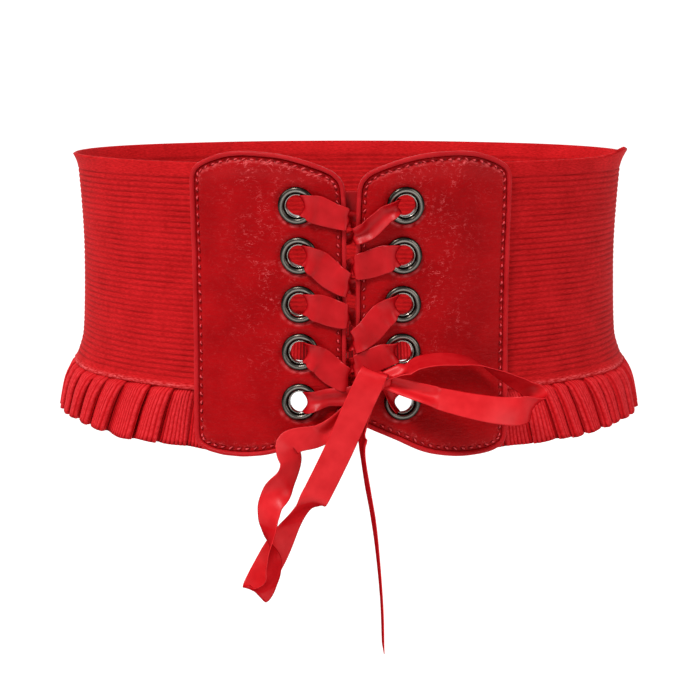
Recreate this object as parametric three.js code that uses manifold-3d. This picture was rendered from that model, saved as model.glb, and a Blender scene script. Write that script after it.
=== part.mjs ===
// A wide lace-up waist belt: a corded elastic band, two faux-leather front panels with
// rolled rims and metal eyelets, a pleated ruffle under the band, and a satin ribbon
// that laces the panels together and is tied in a bow.
//
// Millimetres, +Z up. The origin is the middle of the waist loop at half the height of
// the elastic band. The front of the belt faces -Y, and +X is on the viewer's right.
//
// Most pieces are laid out in belt coordinates and then bent round the waist:
//   across  arc length from the front centre, positive to the viewer's right
//   height  above the middle of the elastic band
//   out     distance outside the outer face of the elastic

import * as THREE from 'three';
import { mergeVertices } from 'three/addons/utils/BufferGeometryUtils.js';
import Module from 'manifold-3d';

const wasm = await Module();
wasm.setup();

// Driving dimensions
const WAIST_HALF_WIDTH = 131;
const WAIST_HALF_DEPTH = 86;
const BAND_HEIGHT = 102;
const BAND_END = 58;
const ELASTIC_THICKNESS = 1.6;
const GAP = 0.3;

const PANEL_THICKNESS = 2.2;
const PANEL_FRONT = GAP + PANEL_THICKNESS;
const RIM_WIDTH = 2.0;
const RIM_HEIGHT = 2.8;

const EYELET_HOLE_RADIUS = 4.6;
const EYELET_FLANGE_RADIUS = 8.2;
const BARREL_WALL = 0.7;
const EYELET_SIDES = 12;

const RUFFLE_THICKNESS = 1.2;
const RUFFLE_END = 60;

const RIBBON_WIDTH = 12.5;
const RIBBON_THICKNESS = 1.0;
const RIBBON_IN_HOLE = 5.6;

// How far the body under the belt pushes it out at each height
const BODY_PROFILE = [
  { height: -84, out: 7.8 },
  { height: -75, out: 6.3 },
  { height: -62, out: 4.9 },
  { height: -51, out: 3.6 },
  { height: -30, out: 1.4 },
  { height: 0, out: 0 },
  { height: 30, out: 0.5 },
  { height: 51, out: 1.7 },
  { height: 58, out: 2.2 },
];

// Outline of the right panel, from the inner top corner over the crest and round
const PANEL_OUTLINE = [
  { across: 2.4, height: 37 },
  { across: 3.8, height: 44 },
  { across: 9.0, height: 48.8 },
  { across: 26.5, height: 54.7 },
  { across: 41.5, height: 56.4 },
  { across: 52.5, height: 56.0 },
  { across: 62.5, height: 53.0 },
  { across: 68.4, height: 49.2 },
  { across: 70.3, height: 43.5 },
  { across: 70.8, height: 10 },
  { across: 70.2, height: -24 },
  { across: 68.0, height: -67 },
  { across: 66.6, height: -73.6 },
  { across: 61.5, height: -77.0 },
  { across: 53, height: -78.5 },
  { across: 42, height: -78.3 },
  { across: 30.5, height: -75.8 },
  { across: 18.5, height: -70.0 },
  { across: 7.5, height: -64.8 },
  { across: 3.2, height: -62.4 },
  { across: 2.2, height: -58 },
  { across: 2.0, height: -25 },
  { across: 2.0, height: 10 },
];

// Centres of the eyelets, top to bottom
const EYELETS = [
  { across: 23.0, height: 33.3 },
  { across: 22.4, height: 11.5 },
  { across: 22.1, height: -9.9 },
  { across: 21.8, height: -30.9 },
  { across: 21.6, height: -53.0 },
];

// Where the two strands dive through the gap between the panels, below each pair of
// eyelets, and how much of its width each one keeps there
const CROSSINGS = [
  { upper: { height: 27.2, keeps: 0.85 }, lower: { height: 19.1, keeps: 0.65 } },
  { upper: { height: 6.2, keeps: 1 }, lower: { height: -2.2, keeps: 1 } },
  { upper: { height: -15.3, keeps: 1 }, lower: { height: -27.6, keeps: 0.85 } },
  { upper: { height: -37.2, keeps: 0.95 }, lower: { height: -45.0, keeps: 0.6 } },
];

// Runs of pleats along the head of the ruffle, from the right panel round the back to
// the left panel, with the width of each pleat
const PLEAT_RUNS = [
  { name: 'beside_right_panel', pleats: 6, width: 8.9 },
  { name: 'right_side', pleats: 4, width: 8.6 },
  { name: 'back', pleats: 30, width: 12 },
  { name: 'left_side', pleats: 3, width: 11.5 },
  { name: 'left_narrow', pleats: 2, width: 8.4 },
  { name: 'beside_left_panel', pleats: 4, width: 12.6 },
];

// One pleat, its places given as shares of its width at the head and at the hem, where
// the raised edge leans over its neighbour
const PLEAT_FOLD = [
  { name: 'root', head: 0.0, hem: 0.0, rise: 0.0 },
  { name: 'leaf', head: 0.5, hem: 0.66, rise: 0.78 },
  { name: 'edge', head: 0.8, hem: 1.02, rise: 1.0 },
  { name: 'tuck', head: 0.9, hem: 1.08, rise: 0.45 },
];

// The ruffle from its sewn head, behind the band's lower edge, down to the hem
const RUFFLE_ROWS = [
  { height: -45, out: -2.95, lean: 0, rise: 0.5 },
  { height: -51.6, out: -2.95, lean: 0, rise: 0.5 },
  { height: -56.5, out: 0.9, lean: 0.35, rise: 2.0 },
  { height: -75, out: 5.0, lean: 1, rise: 4.6 },
];

// How the bow's ribbons run: the middle line, the width and two angles. "lean" turns
// the width from upright to level, and "turn" swings it towards the viewer.
const RIGHT_LOOP = [
  { x: 12, y: -97.4, z: -41.5, width: 5, lean: 0, turn: -60 },
  { x: 15.9, y: -98.2, z: -40.2, width: 6.5, lean: 0, turn: -60 },
  { x: 23, y: -99, z: -37.4, width: 9.5, lean: 0, turn: -68 },
  { x: 28.9, y: -98.4, z: -34, width: 12, lean: 0, turn: -74 },
  { x: 36.4, y: -97.2, z: -32.6, width: RIBBON_WIDTH, lean: 0, turn: -76 },
  { x: 45.6, y: -95.4, z: -32.9, width: RIBBON_WIDTH, lean: 0, turn: -78 },
  { x: 55, y: -93.4, z: -34.6, width: RIBBON_WIDTH, lean: 0, turn: -91 },
  { x: 63.2, y: -91.7, z: -39.1, width: RIBBON_WIDTH, lean: 0, turn: -113 },
  { x: 72.4, y: -90, z: -44.2, width: RIBBON_WIDTH, lean: 0, turn: -128 },
  { x: 78.3, y: -89.4, z: -47.8, width: RIBBON_WIDTH, lean: 12, turn: -138 },
  { x: 81.6, y: -92, z: -51.3, width: RIBBON_WIDTH, lean: 40, turn: -168 },
  { x: 80.6, y: -96.4, z: -53.6, width: RIBBON_WIDTH, lean: 45, turn: -184 },
  { x: 74.4, y: -99.8, z: -54.7, width: RIBBON_WIDTH, lean: 28, turn: -189 },
  { x: 66.8, y: -101.5, z: -54, width: RIBBON_WIDTH, lean: 12, turn: -195 },
  { x: 55.7, y: -102.8, z: -51.9, width: RIBBON_WIDTH, lean: 2, turn: -198 },
  { x: 42.9, y: -103, z: -49.1, width: 11.5, lean: 0, turn: -212 },
  { x: 31.9, y: -101.7, z: -47.3, width: 8, lean: 0, turn: -229 },
  { x: 21.1, y: -99.5, z: -45, width: 6, lean: 0, turn: -225 },
  { x: 12, y: -97.4, z: -41.9, width: 4.4, lean: 0, turn: -215 },
];

const LEFT_LOOP = [
  { x: 9, y: -96.2, z: -42.4, width: 8, lean: 105, turn: 0 },
  { x: 10.9, y: -97.2, z: -38.9, width: 10, lean: 108, turn: 0 },
  { x: 10.2, y: -100.6, z: -37.4, width: 11.5, lean: 110, turn: 0 },
  { x: 8.4, y: -102.9, z: -40, width: 12.4, lean: 114, turn: 0 },
  { x: 2.4, y: -103.7, z: -53.1, width: RIBBON_WIDTH, lean: 116, turn: 0 },
  { x: -6.1, y: -104.1, z: -72.5, width: RIBBON_WIDTH, lean: 116, turn: 0 },
  { x: -14.2, y: -104.4, z: -89.4, width: RIBBON_WIDTH, lean: 113, turn: 0 },
  { x: -16.7, y: -104.1, z: -94, width: RIBBON_WIDTH, lean: 100, turn: 0 },
  { x: -18.9, y: -102.2, z: -96.8, width: RIBBON_WIDTH, lean: 96, turn: -25 },
  { x: -22.1, y: -100, z: -100.1, width: RIBBON_WIDTH, lean: 104, turn: -48 },
  { x: -27.5, y: -97.6, z: -108.3, width: RIBBON_WIDTH, lean: 115, turn: -44 },
  { x: -36.3, y: -95.6, z: -125, width: RIBBON_WIDTH, lean: 120, turn: -35 },
  { x: -40.8, y: -96.6, z: -133.2, width: RIBBON_WIDTH, lean: 127, turn: -34 },
  { x: -42.6, y: -98.8, z: -137.1, width: RIBBON_WIDTH, lean: 138, turn: -36 },
  { x: -41.5, y: -102.6, z: -137.9, width: RIBBON_WIDTH, lean: 138, turn: -42 },
  { x: -38.2, y: -105.6, z: -135.5, width: RIBBON_WIDTH, lean: 122, turn: -58 },
  { x: -34.9, y: -107, z: -129.6, width: RIBBON_WIDTH, lean: 100, turn: -65 },
  { x: -34.4, y: -107.4, z: -122.5, width: RIBBON_WIDTH, lean: 90, turn: -60 },
  { x: -35.6, y: -107.4, z: -116, width: RIBBON_WIDTH, lean: 87, turn: -84 },
  { x: -36.3, y: -107.2, z: -111.9, width: RIBBON_WIDTH, lean: 84, turn: -106 },
  { x: -36.4, y: -106.4, z: -106.1, width: RIBBON_WIDTH, lean: 80, turn: -127 },
  { x: -36.4, y: -105, z: -101.1, width: RIBBON_WIDTH, lean: 78, turn: -143 },
  { x: -35.5, y: -104, z: -95.9, width: RIBBON_WIDTH, lean: 75, turn: -158 },
  { x: -31.6, y: -102.3, z: -89.4, width: RIBBON_WIDTH, lean: 72, turn: -196 },
  { x: -27.9, y: -100.8, z: -83.2, width: RIBBON_WIDTH, lean: 78, turn: -220 },
  { x: -26.5, y: -100.2, z: -77.5, width: RIBBON_WIDTH, lean: 90, turn: -224 },
  { x: -27.6, y: -100.4, z: -72.8, width: RIBBON_WIDTH, lean: 98, turn: -214 },
  { x: -27.3, y: -99.6, z: -70.1, width: 12, lean: 125, turn: -190 },
  { x: -23.8, y: -98.6, z: -68.4, width: 11, lean: 150, turn: -180 },
  { x: -14.6, y: -97.8, z: -66.6, width: 10, lean: 165, turn: -180 },
  { x: -5, y: -97.7, z: -59.6, width: 8, lean: 145, turn: -180 },
  { x: 3.8, y: -97.1, z: -48.9, width: 5.4, lean: 135, turn: -180 },
  { x: 9, y: -96.6, z: -43.7, width: 4, lean: 135, turn: -180 },
];

const TAIL_FRONT = [
  { x: 11.4, y: -97.6, z: -43.5, width: 3.6, lean: 90, turn: 0 },
  { x: 8.3, y: -100.2, z: -49.5, width: 5.2, lean: 90, turn: 8 },
  { x: 5.6, y: -100, z: -58.1, width: 6.5, lean: 90, turn: 35 },
  { x: 4.7, y: -99, z: -65.2, width: 9.5, lean: 90, turn: 60 },
  { x: 4.7, y: -98.4, z: -69.9, width: 12, lean: 90, turn: 76 },
  { x: 5.1, y: -99.6, z: -75.9, width: RIBBON_WIDTH, lean: 90, turn: 80 },
  { x: 7.3, y: -101.5, z: -90, width: RIBBON_WIDTH, lean: 90, turn: 79 },
  { x: 9.5, y: -102.6, z: -102.5, width: RIBBON_WIDTH, lean: 90, turn: 80 },
  { x: 11.5, y: -103, z: -118.7, width: RIBBON_WIDTH, lean: 90, turn: 83 },
  { x: 13.6, y: -103, z: -143.7, width: RIBBON_WIDTH, lean: 90, turn: 86 },
  { x: 14.3, y: -103, z: -164.3, width: RIBBON_WIDTH, lean: 90, turn: 87.5 },
];

const TAIL_BACK = [
  { x: 7.6, y: -100.6, z: -44.6, width: 3.4, lean: 90, turn: 0 },
  { x: 3.2, y: -101.9, z: -50.2, width: 5, lean: 90, turn: 0 },
  { x: 1.4, y: -101.7, z: -55.5, width: 7, lean: 90, turn: 0 },
  { x: -2.2, y: -101.7, z: -64.5, width: 9.5, lean: 90, turn: 0 },
  { x: -8.6, y: -102, z: -78.8, width: 11, lean: 90, turn: 0 },
  { x: -13.6, y: -102, z: -88, width: 12, lean: 90, turn: 0 },
];

const KNOT = { x: 11.6, y: -97.4, z: -42.2, halfWidth: 6.4, halfDepth: 3.9, halfHeight: 4.3 };

const COLOURS = {
  elastic: { color: 0xc01d24, roughness: 0.85, metalness: 0 },
  ruffle: { color: 0xd2242b, roughness: 0.85, metalness: 0 },
  leather: { color: 0xa8131b, roughness: 0.38, metalness: 0 },
  rim: { color: 0xba2c33, roughness: 0.42, metalness: 0 },
  ribbon: { color: 0xd92a31, roughness: 0.35, metalness: 0 },
  eyelet: { color: 0x6d665c, roughness: 0.28, metalness: 1 },
};

// Reads a column of a table at any place along another column, on a smooth curve
// through the rows
function readTable(rows, along, column, place) {
  const last = rows.length - 1;
  const rising = rows[last][along] > rows[0][along];
  let i = 0;
  while (i < last - 1 && (rising ? place > rows[i + 1][along] : place < rows[i + 1][along])) {
    i += 1;
  }
  const slope = (a, b) => (rows[b][column] - rows[a][column]) / (rows[b][along] - rows[a][along]);
  const span = rows[i + 1][along] - rows[i][along];
  const t = THREE.MathUtils.clamp((place - rows[i][along]) / span, 0, 1);
  const m0 = slope(Math.max(i - 1, 0), i + 1) * span;
  const m1 = slope(i, Math.min(i + 2, last)) * span;
  const [p0, p1] = [rows[i][column], rows[i + 1][column]];
  const t2 = t * t;
  const t3 = t2 * t;
  return (2 * t3 - 3 * t2 + 1) * p0 + (t3 - 2 * t2 + t) * m0
    + (3 * t2 - 2 * t3) * p1 + (t3 - t2) * m1;
}

// Angle round the waist ellipse for each arc length from the front centre, added up in
// small steps as far as the middle of the back
const ANGLE_STEPS = 2000;
const arcTable = [0];
for (let i = 1; i <= ANGLE_STEPS; i += 1) {
  const middle = ((i - 0.5) / ANGLE_STEPS) * Math.PI;
  const dx = WAIST_HALF_WIDTH * Math.cos(middle);
  const dy = WAIST_HALF_DEPTH * Math.sin(middle);
  arcTable.push(arcTable[i - 1] + (Math.hypot(dx, dy) * Math.PI) / ANGLE_STEPS);
}
const HALF_GIRTH = arcTable[ANGLE_STEPS];

function angleAt(across) {
  const length = Math.min(Math.abs(across), HALF_GIRTH);
  let low = 0;
  let high = ANGLE_STEPS;
  while (high - low > 1) {
    const middle = (low + high) >> 1;
    if (arcTable[middle] > length) high = middle;
    else low = middle;
  }
  const share = (length - arcTable[low]) / (arcTable[high] - arcTable[low]);
  return (Math.sign(across) * (low + share) * Math.PI) / ANGLE_STEPS;
}

// Belt coordinates to the point in space
function beltPoint(across, height, out) {
  const angle = angleAt(across);
  const reach = readTable(BODY_PROFILE, 'height', 'out', height) + out;
  return new THREE.Vector3(
    (WAIST_HALF_WIDTH + reach) * Math.sin(angle),
    -(WAIST_HALF_DEPTH + reach) * Math.cos(angle),
    height,
  );
}

// Directions at a point of the belt: along the belt, outwards, and the third axis
function beltFrame(across, height, out) {
  const step = 0.5;
  const along = beltPoint(across + step, height, out).sub(beltPoint(across - step, height, out));
  const up = beltPoint(across, height + step, out).sub(beltPoint(across, height - step, out));
  const outwards = along.clone().cross(up).normalize();
  along.normalize();
  const third = along.clone().cross(outwards);
  const centre = beltPoint(across, height, out);
  return new THREE.Matrix4().makeBasis(along, outwards, third).setPosition(centre);
}

// A closed mesh from vertices and triangles, turned so that its faces point out
function solid(vertices, triangles) {
  let volume = 0;
  for (const [a, b, c] of triangles) {
    volume += vertices[a].dot(vertices[b].clone().cross(vertices[c]));
  }
  const geometry = new THREE.BufferGeometry().setFromPoints(vertices);
  geometry.setIndex(triangles.flatMap(([a, b, c]) => (volume > 0 ? [a, b, c] : [a, c, b])));
  return geometry;
}

function quad(triangles, a, b, c, d) {
  triangles.push([a, b, c], [a, c, d]);
}

// A sheet with a thickness: surface(i, j, face) gives the point at column i and row j
// of its outer face (0) or inner face (1)
function sheet(columns, rows, surface) {
  const vertices = [];
  const triangles = [];
  const index = (i, j, face) => (face * (columns + 1) + i) * (rows + 1) + j;
  for (let face = 0; face < 2; face += 1) {
    for (let i = 0; i <= columns; i += 1) {
      for (let j = 0; j <= rows; j += 1) vertices.push(surface(i, j, face));
    }
  }
  for (let i = 0; i < columns; i += 1) {
    for (let j = 0; j < rows; j += 1) {
      quad(triangles, index(i, j, 0), index(i + 1, j, 0), index(i + 1, j + 1, 0), index(i, j + 1, 0));
      quad(triangles, index(i, j, 1), index(i, j + 1, 1), index(i + 1, j + 1, 1), index(i + 1, j, 1));
    }
  }
  for (let i = 0; i < columns; i += 1) {
    quad(triangles, index(i, 0, 0), index(i, 0, 1), index(i + 1, 0, 1), index(i + 1, 0, 0));
    quad(triangles, index(i, rows, 0), index(i + 1, rows, 0), index(i + 1, rows, 1), index(i, rows, 1));
  }
  for (let j = 0; j < rows; j += 1) {
    quad(triangles, index(0, j, 0), index(0, j + 1, 0), index(0, j + 1, 1), index(0, j, 1));
    const [near, far] = [index(columns, j, 0), index(columns, j, 1)];
    quad(triangles, near, far, far + 1, near + 1);
  }
  return solid(vertices, triangles);
}

// A bar made of sections with the same number of corners, closed at its two ends, or
// joined end to start when it goes right round
function bar(sections, goesRound) {
  const corners = sections[0].length;
  const vertices = sections.flat();
  const triangles = [];
  const index = (k, m) => (k % sections.length) * corners + (m % corners);
  const spans = goesRound ? sections.length : sections.length - 1;
  for (let k = 0; k < spans; k += 1) {
    for (let m = 0; m < corners; m += 1) {
      quad(triangles, index(k, m), index(k + 1, m), index(k + 1, m + 1), index(k, m + 1));
    }
  }
  if (!goesRound) {
    for (let m = 1; m < corners - 1; m += 1) {
      triangles.push([index(0, 0), index(0, m), index(0, m + 1)]);
      triangles.push([index(spans, 0), index(spans, m + 1), index(spans, m)]);
    }
  }
  return solid(vertices, triangles);
}

// A flat ribbon along points, each with the direction of its width
function ribbon(stations) {
  const sections = stations.map((station, k) => {
    const before = stations[Math.max(k - 1, 0)].centre;
    const after = stations[Math.min(k + 1, stations.length - 1)].centre;
    const ahead = after.clone().sub(before).normalize();
    const side = station.side.clone().addScaledVector(ahead, -station.side.dot(ahead)).normalize();
    const face = ahead.clone().cross(side);
    return [[1, 1], [1, -1], [-1, -1], [-1, 1]].map(([s, f]) => station.centre.clone()
      .addScaledVector(side, (s * station.width) / 2)
      .addScaledVector(face, (f * RIBBON_THICKNESS) / 2));
  });
  return bar(sections, false);
}

function toManifold(geometry) {
  const bare = geometry.clone();
  bare.deleteAttribute('normal');
  bare.deleteAttribute('uv');
  const merged = mergeVertices(bare);
  return new wasm.Manifold(new wasm.Mesh({
    numProp: 3,
    vertProperties: new Float32Array(merged.attributes.position.array),
    triVerts: new Uint32Array(merged.index.array),
  }));
}

function fromManifold(manifold) {
  const mesh = manifold.getMesh();
  const geometry = new THREE.BufferGeometry();
  geometry.setAttribute('position', new THREE.BufferAttribute(mesh.vertProperties, 3));
  geometry.setIndex(new THREE.BufferAttribute(mesh.triVerts, 1));
  return geometry;
}

const belt = new THREE.Group();

function addPiece(name, geometry, colour) {
  geometry.computeVertexNormals();
  const mesh = new THREE.Mesh(geometry, new THREE.MeshStandardMaterial(COLOURS[colour]));
  mesh.name = name;
  belt.add(mesh);
}

// The elastic band: one strip from under the left panel round the back to under the
// right one. Its selvedge turns out a little at the sides, and one tip stands up.
const BAND_COLUMNS = 44;
const BAND_HEIGHTS = [-BAND_HEIGHT / 2, -30, 0, 30, 46, BAND_HEIGHT / 2];
const SELVEDGE = { from: 44, curl: 1.8, sidesFrom: 95, tipAcross: 146, tipWidth: 12, tipLift: 3.2 };

function aroundBack(share, end) {
  const across = end + share * 2 * (HALF_GIRTH - end);
  return across > HALF_GIRTH ? across - 2 * HALF_GIRTH : across;
}

function bandPoint(across, height, out) {
  const edge = Math.max(0, (height - SELVEDGE.from) / (BAND_HEIGHT / 2 - SELVEDGE.from));
  const sides = THREE.MathUtils.smoothstep(Math.abs(across), SELVEDGE.sidesFrom, SELVEDGE.tipAcross);
  const tip = Math.exp(-(((across - SELVEDGE.tipAcross) / SELVEDGE.tipWidth) ** 2));
  const curl = SELVEDGE.curl * sides * edge * edge * (1 + tip);
  return beltPoint(across, height + SELVEDGE.tipLift * tip * edge * edge, out + curl);
}

addPiece('elastic_band', sheet(BAND_COLUMNS, BAND_HEIGHTS.length - 1, (i, j, face) => bandPoint(
  aroundBack(i / BAND_COLUMNS, BAND_END),
  BAND_HEIGHTS[j],
  -face * ELASTIC_THICKNESS,
)), 'elastic');

// The ruffle: pleats laid one beside the other, each a leaf that rises to a raised edge
// and tucks back under it. Near the panels it lies flat behind them.
const RUFFLE_FLAT = { from: 68, to: 86, out: -2.3, rise: 0.9 };

// The ruffle's middle surface at one height, as points (across, out) from the right
// panel round the back to the left one. The raised edges face the front on both sides,
// so the folds turn over at the middle of the back.
function pleatLine(row) {
  const girth = PLEAT_RUNS.reduce((sum, run) => sum + run.pleats * run.width, 0);
  const stretch = (2 * (HALF_GIRTH - RUFFLE_END)) / girth;
  const points = [];
  let start = RUFFLE_END;
  for (const run of PLEAT_RUNS) {
    for (let pleat = 0; pleat < run.pleats; pleat += 1) {
      const width = run.width * stretch;
      const mirrored = start + width / 2 < HALF_GIRTH;
      const fold = mirrored ? [...PLEAT_FOLD].reverse() : PLEAT_FOLD;
      for (const point of fold) {
        const share = THREE.MathUtils.lerp(point.head, point.hem, row.lean);
        const across = start + width * (mirrored ? 1 - share : share);
        points.push({ across, rise: point.rise });
      }
      start += width;
    }
  }
  return points.map(({ across, rise }) => {
    const fromFront = Math.min(across, 2 * HALF_GIRTH - across);
    const free = THREE.MathUtils.smoothstep(fromFront, RUFFLE_FLAT.from, RUFFLE_FLAT.to);
    const flatOut = Math.min(row.out, RUFFLE_FLAT.out);
    const height = THREE.MathUtils.lerp(Math.min(row.rise, RUFFLE_FLAT.rise), row.rise, free);
    const out = THREE.MathUtils.lerp(flatOut, row.out, free) + height * (rise - 0.5);
    return new THREE.Vector2(across, out);
  });
}

// Moves each corner of a line sideways, so that the strips beside it keep their width.
// At a sharp corner the move is limited, so that it makes no spike.
const SHARPEST_CORNER = 0.45;

function offsetLine(points, distance) {
  return points.map((point, k) => {
    const before = points[Math.max(k - 1, 0)];
    const after = points[Math.min(k + 1, points.length - 1)];
    const first = (k > 0 ? point.clone().sub(before) : after.clone().sub(point)).normalize();
    const second = (k < points.length - 1 ? after.clone().sub(point) : first.clone()).normalize();
    const normal = new THREE.Vector2(-first.y - second.y, first.x + second.x).normalize();
    const widen = 1 / Math.max(SHARPEST_CORNER, normal.dot(new THREE.Vector2(-second.y, second.x)));
    return point.clone().addScaledVector(normal, distance * widen);
  });
}

function ruffle() {
  const lines = RUFFLE_ROWS.map((row) => {
    const line = pleatLine(row);
    return [offsetLine(line, RUFFLE_THICKNESS / 2), offsetLine(line, -RUFFLE_THICKNESS / 2)];
  });
  const columns = lines[0][0].length - 1;
  return sheet(columns, RUFFLE_ROWS.length - 1, (i, j, face) => {
    const { x: across, y: out } = lines[j][face][i];
    const wrapped = across > HALF_GIRTH ? across - 2 * HALF_GIRTH : across;
    return beltPoint(wrapped, RUFFLE_ROWS[j].height, out);
  });
}

addPiece('ruffle', ruffle(), 'ruffle');

// Points of the panel's outline, moved inwards by a distance
const OUTLINE_POINTS = 40;
const outlineCurve = new THREE.CatmullRomCurve3(
  PANEL_OUTLINE.map(({ across, height }) => new THREE.Vector3(across, height, 0)),
  true,
  'centripetal',
);

function outline(inset) {
  return Array.from({ length: OUTLINE_POINTS }, (_, k) => {
    const at = k / OUTLINE_POINTS;
    const point = outlineCurve.getPoint(at);
    const ahead = outlineCurve.getTangent(at);
    return new THREE.Vector2(point.x + ahead.y * inset, point.y - ahead.x * inset);
  });
}

const PANEL_GRID = { columns: 7, left: -1, right: 74, heights: [-82, -62, -46, -28, -4, 20, 42, 60] };
const CUT_INSIDE = -8;
const CUT_OUTSIDE = 12;

function panel(side) {
  const plate = sheet(PANEL_GRID.columns, PANEL_GRID.heights.length - 1, (i, j, face) => beltPoint(
    side * THREE.MathUtils.lerp(PANEL_GRID.left, PANEL_GRID.right, i / PANEL_GRID.columns),
    PANEL_GRID.heights[j],
    face === 0 ? PANEL_FRONT : GAP,
  ));
  const edge = outline(RIM_WIDTH + GAP);
  const inside = edge.map(({ x, y }) => beltPoint(side * x, y, CUT_INSIDE));
  const outside = edge.map(({ x, y }) => beltPoint(side * x, y, CUT_OUTSIDE));
  const caps = THREE.ShapeUtils.triangulateShape(edge, []);
  const triangles = [];
  const count = edge.length;
  for (let k = 0; k < count; k += 1) {
    const next = (k + 1) % count;
    quad(triangles, k, next, next + count, k + count);
  }
  for (const [a, b, c] of caps) {
    triangles.push([a, b, c], [a + count, c + count, b + count]);
  }
  const cutter = solid([...inside, ...outside], triangles);
  let leather = toManifold(plate).intersect(toManifold(cutter));
  for (const { across, height } of EYELETS) {
    const radius = EYELET_HOLE_RADIUS + BARREL_WALL + GAP;
    const drill = new THREE.CylinderGeometry(radius, radius, CUT_OUTSIDE, EYELET_SIDES);
    drill.applyMatrix4(beltFrame(side * across, height, PANEL_FRONT));
    leather = leather.subtract(toManifold(drill));
  }
  return fromManifold(leather);
}

// The rolled rim: a rounded strip all round the panel's edge
const RIM_SECTION = [
  { inset: 0, out: 1.4 },
  { inset: 0.5, out: RIM_HEIGHT },
  { inset: 1.5, out: RIM_HEIGHT },
  { inset: RIM_WIDTH, out: 2.1 },
  { inset: RIM_WIDTH, out: 0 },
  { inset: 0.4, out: 0 },
];

function rim(side) {
  const edges = RIM_SECTION.map(({ inset }) => outline(inset));
  const sections = Array.from({ length: OUTLINE_POINTS }, (_, k) => RIM_SECTION.map(
    ({ out }, m) => beltPoint(side * edges[m][k].x, edges[m][k].y, GAP + out),
  ));
  return bar(sections, true);
}

// An eyelet: a domed flange in front, the barrel through the panel, and a flat collar
// behind it. Radius, and distance in front of the panel's face.
const EYELET_PROFILE = [
  { radius: EYELET_HOLE_RADIUS, out: 0.7 },
  { radius: EYELET_HOLE_RADIUS, out: -3.4 },
  { radius: 7.2, out: -3.4 },
  { radius: 7.2, out: -2.9 },
  { radius: EYELET_HOLE_RADIUS + BARREL_WALL, out: -2.9 },
  { radius: EYELET_HOLE_RADIUS + BARREL_WALL, out: GAP },
  { radius: EYELET_FLANGE_RADIUS, out: GAP },
  { radius: 7.7, out: 1.2 },
  { radius: 6.3, out: 1.6 },
];

function eyelet(side, { across, height }) {
  const profile = [...EYELET_PROFILE, EYELET_PROFILE[0]];
  const points = profile.map(({ radius, out }) => new THREE.Vector2(radius, out));
  const ring = new THREE.LatheGeometry(points, EYELET_SIDES);
  ring.applyMatrix4(beltFrame(side * across, height, PANEL_FRONT));
  return fromManifold(toManifold(ring));
}

for (const [name, side] of [['left', -1], ['right', 1]]) {
  addPiece(`panel_${name}`, panel(side), 'leather');
  addPiece(`rim_${name}`, rim(side), 'rim');
  EYELETS.forEach((place, k) => addPiece(`eyelet_${name}_${k + 1}`, eyelet(side, place), 'eyelet'));
}

// The lace. Each hop comes up through an eyelet, runs over the panel to its inner edge,
// dives into the gap and passes behind the other panel to the next eyelet.
// "off" is the distance from the eyelet's middle towards the gap.
const UP_THROUGH_EYELET = [
  { off: 7.6, out: -1.9, width: 9, drop: -0.3 },
  { off: 4.6, out: -2.4, width: 6.6, drop: -0.1 },
  { off: 2.3, out: -1.8, width: RIBBON_IN_HOLE, drop: 0 },
  { off: 2.3, out: 2.4, width: RIBBON_IN_HOLE, drop: 0 },
  { off: 2.9, out: 4.8, width: 6.8, drop: 0 },
  { off: 4.8, out: 5.6, width: 9.2, drop: 0.03 },
  { off: 7.6, out: 5.1, width: 11.4, drop: 0.15 },
];
// The dive through the gap: distance before the middle of the gap
const DIVE = [
  { before: 7.6, out: 4.1, width: 11.4 },
  { before: 3.4, out: 5.0, width: 10.4 },
  { before: 1.6, out: 4.7, width: 9.6 },
  { before: 1.1, out: 2.4, width: 8.4 },
  { before: 0.9, out: 0.4, width: 7.4 },
  { before: -0.4, out: -1.0, width: 7.2 },
  { before: -2.6, out: -1.6, width: 7.4 },
  { before: -6.5, out: -1.0, width: 8.5 },
];

// One strand from its top eyelet down to the bottom one, as rows in belt coordinates
function strand(firstSide, column) {
  const rows = [];
  EYELETS.forEach((eye, k) => {
    const side = k % 2 === 0 ? firstSide : -firstSide;
    const previous = k > 0 ? CROSSINGS[k - 1][column].height : eye.height;
    const crossing = k < CROSSINGS.length ? CROSSINGS[k][column] : null;
    const next = crossing ? crossing.height : eye.height;
    for (const { off, out, width, drop } of UP_THROUGH_EYELET) {
      const target = drop < 0 ? previous : next;
      const height = THREE.MathUtils.lerp(eye.height, target, Math.abs(drop));
      rows.push({ across: side * (eye.across - off), height, out, width });
    }
    if (crossing) {
      for (const { before, out, width } of DIVE) {
        const towardsNext = before < 0 ? EYELETS[k + 1].height : eye.height;
        const run = Math.abs(before) / eye.across;
        const height = THREE.MathUtils.lerp(next, towardsNext, run);
        rows.push({ across: side * before, height, out, width: width * crossing.keeps });
      }
    }
  });
  return rows;
}

const TOP_BAR = [
  { across: -12, height: 33.2, out: -2.6, width: 10.5 },
  { across: -4, height: 33.6, out: -2.7, width: 11 },
  { across: 4, height: 33.6, out: -2.7, width: 11 },
  { across: 12, height: 33.2, out: -2.6, width: 10.5 },
];
// From the bottom eyelets to the knot
const LEFT_END = [
  { across: -13.6, height: -51.6, out: 5.0, width: 7.6 },
  { across: -9.5, height: -50.6, out: 4.4, width: 6.4 },
  { across: -3.5, height: -50.4, out: 4.6, width: 6 },
  { across: 2.8, height: -48.6, out: 5.2, width: 5.2 },
  { across: 7.6, height: -43.6, out: 6.2, width: 4 },
];
const RIGHT_END = [
  { across: 15.6, height: -49.8, out: 5.7, width: 4.4 },
  { across: 13.8, height: -43.8, out: 6.4, width: 3.6 },
];

function lacePoint({ across, height, out, width }) {
  const centre = beltPoint(across, height, out);
  const side = beltPoint(across, height + 1, out).sub(beltPoint(across, height - 1, out));
  return { centre, side: side.normalize(), width };
}

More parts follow.
